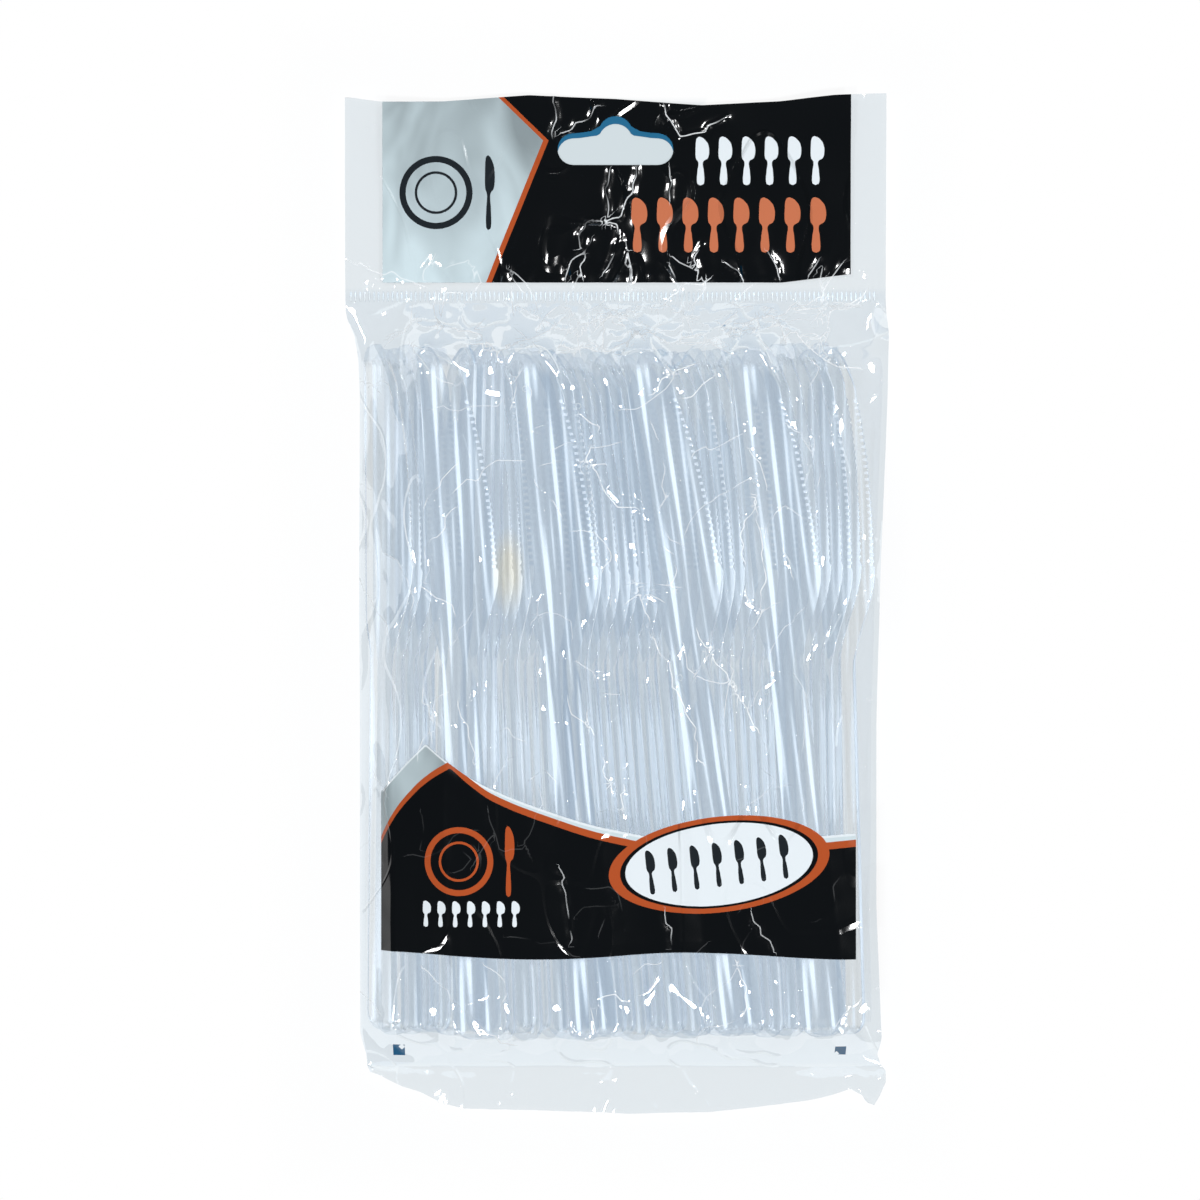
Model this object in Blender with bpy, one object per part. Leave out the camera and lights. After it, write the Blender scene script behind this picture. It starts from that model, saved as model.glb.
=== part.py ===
"""Header bag of clear film with fifty clear moulded table knives sealed inside, lying on its back.

Metres, +Z up, +Y towards the hang slot. The origin is on the floor under the middle of the bag.
Most knives lean on the next one, in one row of shingles across the bag, and a few lie on top of the row.
"""

import math
import random

import bmesh
import bpy
from mathutils import Matrix, Vector

# Knife, in its own frame: X across it, Y from the handle's end to the tip, Z through its thickness
HANDLE_LENGTH = 0.096
BLADE_LENGTH = 0.088
KNIFE_THICKNESS = 0.0014
HANDLE_END_WIDTH = 0.0126
HANDLE_NECK_WIDTH = 0.0092
END_RADIUS = 0.0050
NECK_WIDTH = 0.0088
SPINE_REACH = 0.0065
EDGE_REACH = 0.0118
BELLY_FROM_NECK = 0.028
TIP_RADIUS = 0.0040
RIM_WIDTH = 0.0011
HANDLE_POCKET_DEPTH = 0.00035
BLADE_POCKET_DEPTH = 0.00030
BLADE_POCKET_FOOT = 0.0010
TIP_RIM = 0.0045
SPINE_TAPER = 0.012
EDGE_THICKNESS = 0.0005
SERRATED_LENGTH = 0.046

# Row of knives
ROW_COUNT = 46
ROW_PITCH = 0.00272
LEAN = math.radians(45)
MOST_YAW = math.radians(4.2)
YAW_STARTS, YAW_PEAKS, YAW_ENDS = 0.08, 0.55, 1.0
TURNED_KNIVES = range(6, 10)
SEAT_GAP = 0.0003
STAGGER = 0.0012
MIDDLE_SAG = 0.0020
TIP_LIFT = math.radians(0.3)
HANDLE_LIFT = math.radians(1.15)
ROW_RISE = 0.0010

# Knives on top of the row: where the tip is across the bag, and the yaw in degrees
TOP_KNIVES = ((-0.0460, 3.0), (-0.0215, 5.0), (0.0080, 8.0), (0.0365, 6.0))
TOP_PITCH = math.radians(1.0)
TOP_SLIDE = 0.0015

# Film
FILM = 0.00006
LAY_FLAT = 0.0003
END_ROOM = 0.0100
TIP_ROOM = 0.0120
SIDE_ROOM = 0.0006
FLAT_ROOM = 0.0046
CROWN_ROOM = 0.0028
SEAL_HEIGHT = 0.0030
SKIRT_HEIGHT = 0.0130
HEADER_HEIGHT = 0.0530
CORNER_CURL = 0.0025

# Hang slot, and the vent holes pricked through the front
SLOT_WIDTH = 0.0313
SLOT_BAR_HEIGHT = 0.0084
SLOT_HUMP_RADIUS = 0.0047
SLOT_HUMP_RISE = 0.0005
SLOT_BELOW_TOP = 0.0160
BACK_SLOT_DROP = 0.0024
VENT_RADIUS = 0.00075
VENTS = ((-0.0240, 0.0570), (-0.0100, 0.0525), (0.0370, 0.0327), (0.0170, -0.0195), (0.0400, -0.0232))

KNIFE_LENGTH = HANDLE_LENGTH + BLADE_LENGTH
BLADE_WIDTH = SPINE_REACH + EDGE_REACH
ROW_WIDTH = (ROW_COUNT - 1) * ROW_PITCH
LEANING_WIDTH = BLADE_WIDTH * math.cos(LEAN) + KNIFE_THICKNESS * math.sin(LEAN) + SEAT_GAP
CONTENTS_WIDTH = ROW_WIDTH + LEANING_WIDTH
BAG_LENGTH = SKIRT_HEIGHT + END_ROOM + KNIFE_LENGTH + TIP_ROOM + SEAL_HEIGHT + HEADER_HEIGHT
BAG_BOTTOM = -BAG_LENGTH / 2
BOTTOM_SEAL = BAG_BOTTOM + SKIRT_HEIGHT
HANDLE_ENDS = BOTTOM_SEAL + END_ROOM
TIPS = HANDLE_ENDS + KNIFE_LENGTH
TOP_SEAL = TIPS + TIP_ROOM
HEADER_FOOT = TOP_SEAL + SEAL_HEIGHT
BAG_TOP = BAG_BOTTOM + BAG_LENGTH
FLOOR_GAP = FILM + SEAT_GAP
SLOT_Y = BAG_TOP - SLOT_BELOW_TOP
ROW_TOP = FLOOR_GAP + BLADE_WIDTH * math.sin(LEAN) + KNIFE_THICKNESS * math.cos(LEAN) + ROW_RISE
BLADE_CROWN = ROW_TOP + CROWN_ROOM
NECK_CROWN = BLADE_CROWN - 0.0015
HANDLE_CROWN = BLADE_CROWN - 0.0027
SIDE_BLADES = ROW_TOP
SIDE_HANDLES = ROW_TOP - 0.0027
SIDE_TIPS = ROW_TOP * 0.66

# The bag's sides: share of the bag's length from its bottom edge, and how far the film lies outside the knives
LEFT_SIDE = (
    (0.00, -0.0016), (0.05, -0.0014), (0.085, SIDE_ROOM), (0.40, SIDE_ROOM), (0.50, SIDE_ROOM + 0.0002),
    (0.735, SIDE_ROOM), (0.76, 0.0019), (0.785, FLAT_ROOM - 0.0002), (0.80, FLAT_ROOM), (0.92, FLAT_ROOM),
    (1.00, FLAT_ROOM - 0.0002),
)
RIGHT_SIDE = (
    (0.00, FLAT_ROOM), (0.035, FLAT_ROOM), (0.056, 0.0025), (0.066, 0.0014), (0.075, 0.0025), (0.125, 0.0022),
    (0.21, 0.0011), (0.38, 0.0011), (0.50, 0.0019), (0.60, 0.0030), (0.70, FLAT_ROOM - 0.0005),
    (0.795, FLAT_ROOM), (0.92, FLAT_ROOM), (1.00, FLAT_ROOM),
)
# The cut edges: share of the bag's width from its left side, and how far the cut lies inside the bag's length
BOTTOM_CUT = (
    (0.00, 0.0115), (0.08, 0.0071), (0.14, 0.0033), (0.20, 0.0011), (0.37, 0.0011), (0.545, 0.0000), (0.64, 0.0006),
    (0.76, 0.0020), (0.855, 0.0038), (0.945, 0.0071), (0.961, 0.0033), (0.977, 0.0025), (0.99, 0.0055), (1.00, 0.0092),
)
TOP_CUT = (
    (0.00, 0.0011), (0.07, 0.0022), (0.175, 0.0020), (0.325, 0.0003), (0.40, 0.0000), (0.49, 0.0011), (0.565, 0.0033),
    (0.655, 0.0030), (0.77, 0.0022), (0.93, 0.0003), (1.00, 0.0000),
)


def smooth(share):
    """Eases from 0 to 1 as share goes from 0 to 1."""
    share = min(max(share, 0.0), 1.0)
    return share * share * (3 - 2 * share)


def along(stations, place):
    """The value at this place on a smooth line through the stations."""
    for (start, low), (end, high) in zip(stations, stations[1:]):
        if place <= end:
            return low + (high - low) * smooth((place - start) / (end - start))
    return stations[-1][1]


def arc(centre, radius, start, end, steps):
    """Points on an arc, angles in degrees."""
    angles = [math.radians(start + (end - start) * n / steps) for n in range(steps + 1)]
    return [(centre[0] + radius * math.cos(a), centre[1] + radius * math.sin(a)) for a in angles]


def in_collection(name, hidden=False):
    collection = bpy.data.collections.new(name)
    bpy.context.scene.collection.children.link(collection)
    collection.hide_render = hidden
    return collection


def material(name, colour, roughness, alpha):
    made = bpy.data.materials.new(name)
    made.use_nodes = True
    shader = made.node_tree.nodes["Principled BSDF"]
    shader.inputs["Base Color"].default_value = (*colour, 1)
    shader.inputs["Roughness"].default_value = roughness
    shader.inputs["Metallic"].default_value = 0
    shader.inputs["Alpha"].default_value = alpha
    return made


def plate(name, outline, thickness, collection):
    """A flat plate of this outline, as a mesh whose underside is at Z 0."""
    curve = bpy.data.curves.new(name, "CURVE")
    curve.dimensions = "2D"
    curve.fill_mode = "BOTH"
    curve.extrude = thickness / 2
    spline = curve.splines.new("POLY")
    spline.points.add(len(outline) - 1)
    for point, (x, y) in zip(spline.points, outline):
        point.co = (x, y, 0, 1)
    spline.use_cyclic_u = True
    drawn = bpy.data.objects.new(name, curve)
    collection.objects.link(drawn)
    seen = drawn.evaluated_get(bpy.context.evaluated_depsgraph_get())
    mesh = bpy.data.meshes.new_from_object(seen)
    bpy.data.objects.remove(drawn)
    shape = bmesh.new()
    shape.from_mesh(mesh)
    bmesh.ops.remove_doubles(shape, verts=shape.verts, dist=0.00001)
    bmesh.ops.translate(shape, verts=shape.verts, vec=(0, 0, thickness / 2))
    bmesh.ops.recalc_face_normals(shape, faces=shape.faces)
    shape.to_mesh(mesh)
    shape.free()
    made = bpy.data.objects.new(name, mesh)
    collection.objects.link(made)
    return made


def cut(target, cutter, solver="EXACT"):
    """Cuts a hidden shape out of the target."""
    cutter.hide_render = True
    cutter.display_type = "WIRE"
    difference = target.modifiers.new(cutter.name, "BOOLEAN")
    difference.operation = "DIFFERENCE"
    difference.solver = solver
    difference.object = cutter


def handle_half_width(y):
    share = (y - END_RADIUS) / (HANDLE_LENGTH - END_RADIUS)
    return (HANDLE_END_WIDTH + (HANDLE_NECK_WIDTH - HANDLE_END_WIDTH) * share) / 2


def shoulder(reach, length, steps):
    """Points from the neck out to where the blade reaches this far, for either side."""
    neck = HANDLE_LENGTH + 0.002
    shares = [(n + 1) / (steps + 1) for n in range(steps)]
    return [(NECK_WIDTH / 2 + (reach - NECK_WIDTH / 2) * smooth(s), neck + length * s) for s in shares]


def knife_outline():
    """Round-ended handle, narrow neck, straight spine on the left and bellied edge on the right."""
    end_x = HANDLE_END_WIDTH / 2 - END_RADIUS
    belly_y = HANDLE_LENGTH + BELLY_FROM_NECK
    tip_x = -SPINE_REACH + TIP_RADIUS
    right_end = arc((end_x, END_RADIUS), END_RADIUS, -90, 0, 3)
    neck = (NECK_WIDTH / 2, HANDLE_LENGTH + 0.002)
    edge = [
        (tip_x + (EDGE_REACH - tip_x) * math.cos(a), belly_y + (KNIFE_LENGTH - belly_y) * math.sin(a))
        for a in [math.radians(15 * n) for n in range(6)]
    ]
    tip = arc((tip_x, KNIFE_LENGTH - TIP_RADIUS), TIP_RADIUS, 90, 180, 2)
    spine = [(-x, y) for x, y in reversed(shoulder(SPINE_REACH, BELLY_FROM_NECK / 2, 2))]
    left_end = [(-x, y) for x, y in reversed(right_end)]
    heel = [(-SPINE_REACH, neck[1] + BELLY_FROM_NECK / 2)]
    right_side = [*right_end, (HANDLE_NECK_WIDTH / 2, HANDLE_LENGTH - 0.002), neck]
    right_side += shoulder(EDGE_REACH, BELLY_FROM_NECK - 0.002, 3)
    left_side = [*heel, *spine, (-neck[0], neck[1]), (-HANDLE_NECK_WIDTH / 2, HANDLE_LENGTH - 0.002)]
    return [*right_side, *edge, *tip, *left_side, *left_end]


def handle_pocket_outline():
    """The sunk face of the handle, inside its rim."""
    foot = arc((0, END_RADIUS + RIM_WIDTH), END_RADIUS, -150, -30, 4)
    top_y = HANDLE_LENGTH - 0.005
    top_x = handle_half_width(top_y) - RIM_WIDTH
    side_y = END_RADIUS + RIM_WIDTH
    side_x = handle_half_width(side_y) - RIM_WIDTH
    return [*foot, (side_x, side_y), (top_x, top_y), (-top_x, top_y), (-side_x, side_y)]


def blade_pocket_outline():
    """The sunk face of the blade: rimmed along the spine, the heel and the tip, and open at the edge."""
    heel_y = HANDLE_LENGTH + 0.005
    belly_y = HANDLE_LENGTH + BELLY_FROM_NECK
    top_y = belly_y + SERRATED_LENGTH
    spine_x = -SPINE_REACH + RIM_WIDTH
    past_edge = EDGE_REACH + 0.003
    return [
        (-BLADE_POCKET_FOOT, heel_y), (BLADE_POCKET_FOOT, heel_y),
        (EDGE_REACH * 0.55, belly_y - SPINE_TAPER), (EDGE_REACH - RIM_WIDTH, belly_y),
        (past_edge, belly_y), (past_edge, top_y), (EDGE_REACH * 0.40, top_y),
        (spine_x + TIP_RADIUS, KNIFE_LENGTH - TIP_RIM), (spine_x + RIM_WIDTH / 2, KNIFE_LENGTH - 2 * TIP_RIM),
        (spine_x, belly_y), (spine_x, belly_y - SPINE_TAPER),
    ]


def knife_mesh(cutters):
    """One knife: a plate of full thickness with the handle's and the blade's faces sunk into it."""
    blank = plate("knife_blank", knife_outline(), KNIFE_THICKNESS, cutters)
    tall = 0.003
    handle = plate("handle_pocket", handle_pocket_outline(), tall, cutters)
    handle.location.z = KNIFE_THICKNESS - HANDLE_POCKET_DEPTH
    blade = plate("blade_pocket", blade_pocket_outline(), tall, cutters)
    floor_at_spine = KNIFE_THICKNESS - BLADE_POCKET_DEPTH
    fall = math.atan2(floor_at_spine - EDGE_THICKNESS, BLADE_WIDTH - RIM_WIDTH)
    spine_x = -SPINE_REACH + RIM_WIDTH
    turn = Matrix.Translation((spine_x, 0, floor_at_spine)) @ Matrix.Rotation(fall, 4, "Y")
    blade.matrix_world = turn @ Matrix.Translation((-spine_x, 0, 0))
    cut(blank, handle, "MANIFOLD")
    cut(blank, blade, "MANIFOLD")
    bpy.context.view_layer.update()
    seen = blank.evaluated_get(bpy.context.evaluated_depsgraph_get())
    mesh = bpy.data.meshes.new_from_object(seen)
    mesh.name = "knife"
    for shape in (blank, handle, blade):
        bpy.data.objects.remove(shape)
    return mesh


def yaw_of(number):
    """The knives lie straight at both sides of the bag, and their tips swing to the left in between."""
    share = number / (ROW_COUNT - 1)
    rising = smooth((share - YAW_STARTS) / (YAW_PEAKS - YAW_STARTS))
    falling = smooth((share - YAW_PEAKS) / (YAW_ENDS - YAW_PEAKS))
    return MOST_YAW * (rising - falling)


def knife_place(number, chance):
    """Where a knife lies: in its own slab of the row, standing on the film along its lowest side."""
    turned = number in TURNED_KNIVES
    low_reach = EDGE_REACH if turned else SPINE_REACH
    belly_y = HANDLE_LENGTH + BELLY_FROM_NECK
    rest_tilt = math.atan2(low_reach - HANDLE_END_WIDTH / 2, belly_y - END_RADIUS)
    tilt = rest_tilt + chance.uniform(-HANDLE_LIFT, TIP_LIFT)
    share = number / (ROW_COUNT - 1)
    slide = chance.uniform(-STAGGER, STAGGER) - MIDDLE_SAG * math.sin(math.pi * share)
    flip = Matrix.Identity(4)
    if turned:
        flip = Matrix.Translation((0, 0, KNIFE_THICKNESS)) @ Matrix.Rotation(math.pi, 4, "Y")
    in_slab = Matrix.Rotation(-tilt, 4, "Z") @ flip
    lean = Matrix.Rotation(-LEAN, 4, "Y")
    corners = [(x, y, z) for x, y in knife_outline() for z in (0, KNIFE_THICKNESS)]
    lowest = min((lean @ in_slab @ Vector(corner)).z for corner in corners)
    climb = (FLOOR_GAP - lowest) / math.sin(LEAN)
    row_start = -CONTENTS_WIDTH / 2 + KNIFE_THICKNESS * math.sin(LEAN)
    foot = Vector((row_start + number * ROW_PITCH, HANDLE_ENDS + KNIFE_LENGTH / 2, 0))
    in_row = Matrix.Translation(foot) @ Matrix.Rotation(yaw_of(number), 4, "Z") @ lean
    return in_row @ Matrix.Translation((climb, slide - KNIFE_LENGTH / 2, 0)) @ in_slab


def top_knife_place(tip_x, yaw):
    """Where a knife lies on top of the row: on the blades' bellies, with its tip a little raised."""
    belly_y = HANDLE_LENGTH + BELLY_FROM_NECK
    tip = Matrix.Translation((tip_x, TIPS - TOP_SLIDE, 0)) @ Matrix.Rotation(math.radians(yaw), 4, "Z")
    belly = Matrix.Translation((0, belly_y - KNIFE_LENGTH, ROW_TOP)) @ Matrix.Rotation(TOP_PITCH, 4, "X")
    return tip @ belly @ Matrix.Translation((0, -belly_y, 0))


def make_knives(parts, cutters):
    mesh = knife_mesh(cutters)
    mesh.materials.clear()
    mesh.materials.append(material("clear_moulded_plastic", (0.80, 0.88, 0.95), 0.08, 0.4))
    chance = random.Random(12)
    places = [knife_place(number, chance) for number in range(ROW_COUNT)]
    places += [top_knife_place(tip_x, yaw) for tip_x, yaw in TOP_KNIVES]
    for number, place in enumerate(places):
        knife = bpy.data.objects.new(f"knife_{number + 1:02d}", mesh)
        knife.matrix_world = place
        parts.objects.link(knife)


def side_x(stations, y):
    return CONTENTS_WIDTH / 2 + along(stations, (y - BAG_BOTTOM) / BAG_LENGTH)


def crown(y):
    """The height of the film's top over the floor, along the bag."""
    belly = HANDLE_ENDS + HANDLE_LENGTH + BELLY_FROM_NECK
    return along(
        (
            (BAG_BOTTOM, LAY_FLAT), (BOTTOM_SEAL, LAY_FLAT), (BOTTOM_SEAL + END_ROOM * 0.9, HANDLE_CROWN),
            (HANDLE_ENDS + HANDLE_LENGTH * 0.75, NECK_CROWN), (belly - SPINE_TAPER, BLADE_CROWN),
            (TIPS - 0.002, BLADE_CROWN), (TOP_SEAL, LAY_FLAT), (BAG_TOP, LAY_FLAT),
        ),
        y,
    )


def side_crown(y):
    """The height of the film's top beside the knives that lie on the row."""
    belly = HANDLE_ENDS + HANDLE_LENGTH + BELLY_FROM_NECK
    return along(
        (
            (BAG_BOTTOM, LAY_FLAT), (BOTTOM_SEAL, LAY_FLAT), (BOTTOM_SEAL + END_ROOM * 0.9, SIDE_HANDLES),
            (HANDLE_ENDS + HANDLE_LENGTH * 0.75, SIDE_HANDLES), (belly - SPINE_TAPER, SIDE_BLADES),
            (belly + 1.5 * SPINE_TAPER, SIDE_BLADES), (TIPS - 0.002, SIDE_TIPS), (TOP_SEAL, LAY_FLAT), (BAG_TOP, LAY_FLAT),
        ),
        y,
    )


def loaded(x, y):
    """1 over the knives on top of the row and 0 well beside them, with the film falling off in between."""
    up = TIPS - y
    first_x, first_yaw = TOP_KNIVES[0]
    last_x, last_yaw = TOP_KNIVES[-1]
    reach = EDGE_REACH if up > TIP_REACH else EDGE_REACH * math.sqrt(max(up, 0) / TIP_REACH)
    left = first_x - SPINE_REACH - BESIDE + up * math.tan(math.radians(first_yaw))
    right = last_x + reach + BESIDE + up * math.tan(math.radians(last_yaw))
    return smooth((x - left) / FALL_OFF + 1) * smooth((right - x) / FALL_OFF + 1)


def header_curl(x, y):
    """The header's outer corners lift a little off the floor."""
    out = smooth((abs(x) - SLOT_WIDTH) / (CONTENTS_WIDTH / 2 - SLOT_WIDTH))
    up = smooth((y - HEADER_FOOT - HEADER_HEIGHT / 3) / (HEADER_HEIGHT * 2 / 3))
    return CORNER_CURL * out * up


# The mesh's columns: how far in from the left side, shares of the middle, and how far in from the right side
RAMP = LEANING_WIDTH
LEFT_COLUMNS = (0.0, 0.0004, 0.0010, 0.0030, 0.0060, 0.0095, RAMP)
MIDDLE_COLUMNS = (0.045, 0.10, 0.30, 0.50, 0.70, 0.82, 0.88, 0.94)
RIGHT_COLUMNS = (RAMP, 0.0105, 0.0075, 0.0054, 0.0032, 0.0015, 0.0006, 0.0)
COLUMNS = len(LEFT_COLUMNS) + len(MIDDLE_COLUMNS) + len(RIGHT_COLUMNS)
LEFT_ROUND = 0.0010
RIGHT_ROUND = 0.0015
LEFT_SEAM_SHARE = 0.06
RIGHT_SEAM_SHARE = 0.85
BULGE = 0.42
FALL_OFF = 0.012
BESIDE = 0.0022
TIP_REACH = 0.018


def column_x(column, left, right):
    if column < len(LEFT_COLUMNS):
        return left + LEFT_COLUMNS[column]
    column -= len(LEFT_COLUMNS)
    if column < len(MIDDLE_COLUMNS):
        return left + RAMP + (right - left - 2 * RAMP) * MIDDLE_COLUMNS[column]
    return right - RIGHT_COLUMNS[column - len(MIDDLE_COLUMNS)]


def quarter(distance, run):
    """Rises from 0 to 1 over the run, as a quarter of an ellipse does."""
    return math.sin(math.pi / 2 * min(max(distance / run, 0.0), 1.0))


def slope(distance, run):
    """Rises from 0 to 1 over the run, as film does that lies on a leaning knife."""
    return BULGE * quarter(distance, run) + (1 - BULGE) * min(max(distance / run, 0.0), 1.0)


def film_heights(x, y, left, right):
    """Heights of the film's front and back: both slant with the knives, and meet at the sides."""
    side = side_crown(y) - LAY_FLAT
    full = side + (crown(y) - LAY_FLAT - side) * loaded(x, y)
    run = RAMP * max(side, LAY_FLAT) / (SIDE_BLADES - LAY_FLAT)
    left_seam = LEFT_SEAM_SHARE * side
    right_seam = RIGHT_SEAM_SHARE * side
    front = min(
        left_seam + (full - left_seam) * slope(x - left, run),
        right_seam + (full - right_seam) * quarter(right - x, RIGHT_ROUND),
    )
    back = max(
        left_seam * (1 - quarter(x - left, LEFT_ROUND)),
        right_seam * (1 - quarter(right - x, run)),
    )
    lift = header_curl(x, y)
    return front + LAY_FLAT + lift, back + lift


def film_point(column, y, is_front, inset):
    """A point of the film's outer face, or of its inner face where inset is the film's thickness."""
    left = -side_x(LEFT_SIDE, y) + inset
    right = side_x(RIGHT_SIDE, y) - inset
    x = column_x(column, left, right)
    front, back = film_heights(x, y, left, right)
    share = (x - left) / (right - left)
    if y < BOTTOM_SEAL:
        reach = BOTTOM_SEAL - (BAG_BOTTOM + along(BOTTOM_CUT, share))
        y = BOTTOM_SEAL - reach * (BOTTOM_SEAL - y) / SKIRT_HEIGHT
    if y > SLOT_Y:
        reach = BAG_TOP - along(TOP_CUT, share) - inset - SLOT_Y
        y = SLOT_Y + reach * (y - SLOT_Y) / SLOT_BELOW_TOP
    return Vector((x, y, front - inset if is_front else back + inset))


def envelope(rows, inset=0.0):
    """A closed envelope of the film's front and back over these rows, facing out."""
    shape = bmesh.new()
    for is_front in (True, False):
        sheet = bmesh.ops.create_grid(shape, x_segments=COLUMNS - 1, y_segments=len(rows) - 1, size=1)
        for vert in sheet["verts"]:
            column = round((vert.co.x + 1) / 2 * (COLUMNS - 1))
            row = round((vert.co.y + 1) / 2 * (len(rows) - 1))
            vert.co = film_point(column, rows[row], is_front, inset)
    rim = [edge for edge in shape.edges if edge.is_boundary]
    bmesh.ops.bridge_loops(shape, edges=rim)
    bmesh.ops.recalc_face_normals(shape, faces=shape.faces)
    if inset:
        bmesh.ops.reverse_faces(shape, faces=shape.faces)
    mesh = bpy.data.meshes.new("envelope")
    shape.to_mesh(mesh)
    shape.free()
    return mesh


def spread(start, end, shares):
    return [start + (end - start) * share for share in shares]


def slot_outline(drop):
    """The hang slot: a round-ended bar with a hump over its middle."""
    end = SLOT_BAR_HEIGHT / 2
    middle = SLOT_Y - drop
    right_x = SLOT_WIDTH / 2 - end
    hump_y = middle + end + SLOT_HUMP_RISE
    return [
        *arc((right_x, middle), end, -90, 90, 6),
        *arc((0, hump_y), SLOT_HUMP_RADIUS, 0, 180, 6),
        *arc((-right_x, middle), end, 90, 270, 6),
    ]


def slot_cutters(cutters):
    """One cutter for each layer of the header: the back layer has slid down a little."""
    middle = LAY_FLAT / 2
    tall = 0.004
    front = plate("front_slot", slot_outline(0), tall, cutters)
    front.location.z = middle
    back = plate("back_slot", slot_outline(BACK_SLOT_DROP), tall, cutters)
    back.location.z = middle - tall
    return [front, back]


def vent_cutters(cutters):
    """Round pins that prick the front of the film and stop short of the knives."""
    made = []
    for number, (x, y) in enumerate(VENTS):
        ring = plate(f"vent_{number + 1}", arc((x, y), VENT_RADIUS, 0, 315, 7), 0.002, cutters)
        ring.location.z = crown(y) - 0.001
        made.append(ring)
    return made


def make_bag(parts, cutters):
    """The film is one piece: an outer face, and an inner face round the knives and inside the header."""
    skirt = spread(BAG_BOTTOM, BOTTOM_SEAL, (0, 0.5))
    lower = spread(BOTTOM_SEAL, HANDLE_ENDS, (0, 0.2, 0.4, 0.65, 0.9))
    handles = spread(HANDLE_ENDS, HANDLE_ENDS + HANDLE_LENGTH, (0.35, 0.75, 0.87))
    blades = spread(HANDLE_ENDS + HANDLE_LENGTH, TIPS - 0.002, (0, 0.15, 0.35, 0.7, 0.87))
    upper = spread(TIPS - 0.002, TOP_SEAL, (0, 0.2, 0.35, 0.5, 0.65, 0.8, 1))
    header = spread(HEADER_FOOT, BAG_TOP, (0, 0.33, 0.55, 0.70, 0.85, 1))
    pouch = [*lower, *handles, *blades, *upper]
    meshes = [envelope([*skirt, *pouch, *header]), envelope(pouch, FILM), envelope(header, FILM)]
    shape = bmesh.new()
    for mesh in meshes:
        shape.from_mesh(mesh)
        bpy.data.meshes.remove(mesh)
    film = bpy.data.meshes.new("film_bag")
    shape.to_mesh(film)
    shape.free()
    film.materials.append(material("clear_film", (0.88, 0.92, 0.94), 0.12, 0.25))
    bag = bpy.data.objects.new("film_bag", film)
    parts.objects.link(bag)
    for cutter in [*slot_cutters(cutters), *vent_cutters(cutters)]:
        cut(bag, cutter)


def main():
    for old in list(bpy.data.objects):
        bpy.data.objects.remove(old)
    parts = in_collection("cutlery_pack")
    cutters = in_collection("cutters", hidden=True)
    make_knives(parts, cutters)
    make_bag(parts, cutters)


main()
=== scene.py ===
"""Sealed header bag of clear film, full of clear moulded table knives, on a pale floor and seen from above.

Metres, +Z up, +Y towards the hang slot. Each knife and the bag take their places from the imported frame.
"""

import math
import random

import bmesh
import bpy
import numpy as np
from mathutils import Matrix, Vector
from mathutils.bvhtree import BVHTree


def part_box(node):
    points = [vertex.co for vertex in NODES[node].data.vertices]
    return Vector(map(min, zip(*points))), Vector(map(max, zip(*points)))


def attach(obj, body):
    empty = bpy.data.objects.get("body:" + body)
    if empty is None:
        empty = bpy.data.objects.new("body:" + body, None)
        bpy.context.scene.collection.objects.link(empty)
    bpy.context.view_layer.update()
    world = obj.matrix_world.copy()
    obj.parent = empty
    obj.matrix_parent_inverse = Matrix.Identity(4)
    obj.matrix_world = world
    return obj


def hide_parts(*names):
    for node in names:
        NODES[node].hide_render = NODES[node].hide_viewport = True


bl_info = {
    "name": "Clear cutlery pack",
    "version": (1, 0, 0),
    "blender": (4, 5, 0),
    "location": "3D View > Sidebar > Cutlery pack",
    "description": "Dresses a header bag of clear knives: the knives, the printed film, its seals and the stage",
    "category": "Object",
}

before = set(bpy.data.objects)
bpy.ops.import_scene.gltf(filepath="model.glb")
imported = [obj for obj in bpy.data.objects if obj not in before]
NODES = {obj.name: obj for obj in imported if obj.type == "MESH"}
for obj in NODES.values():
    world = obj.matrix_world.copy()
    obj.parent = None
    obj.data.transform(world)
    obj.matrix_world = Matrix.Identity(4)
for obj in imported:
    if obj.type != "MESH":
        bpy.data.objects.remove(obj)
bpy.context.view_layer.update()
BODY = "root"
MM = 0.001


# Settings


def length(name, description, default):
    return bpy.props.FloatProperty(name=name, description=description, default=default, unit="LENGTH", precision=5)


def share(name, description, default):
    return bpy.props.FloatProperty(name=name, description=description, default=default, subtype="FACTOR")


def colour(name, description, default):
    return bpy.props.FloatVectorProperty(
        name=name, description=description, default=default, subtype="COLOR", size=3, min=0, max=1
    )


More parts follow.
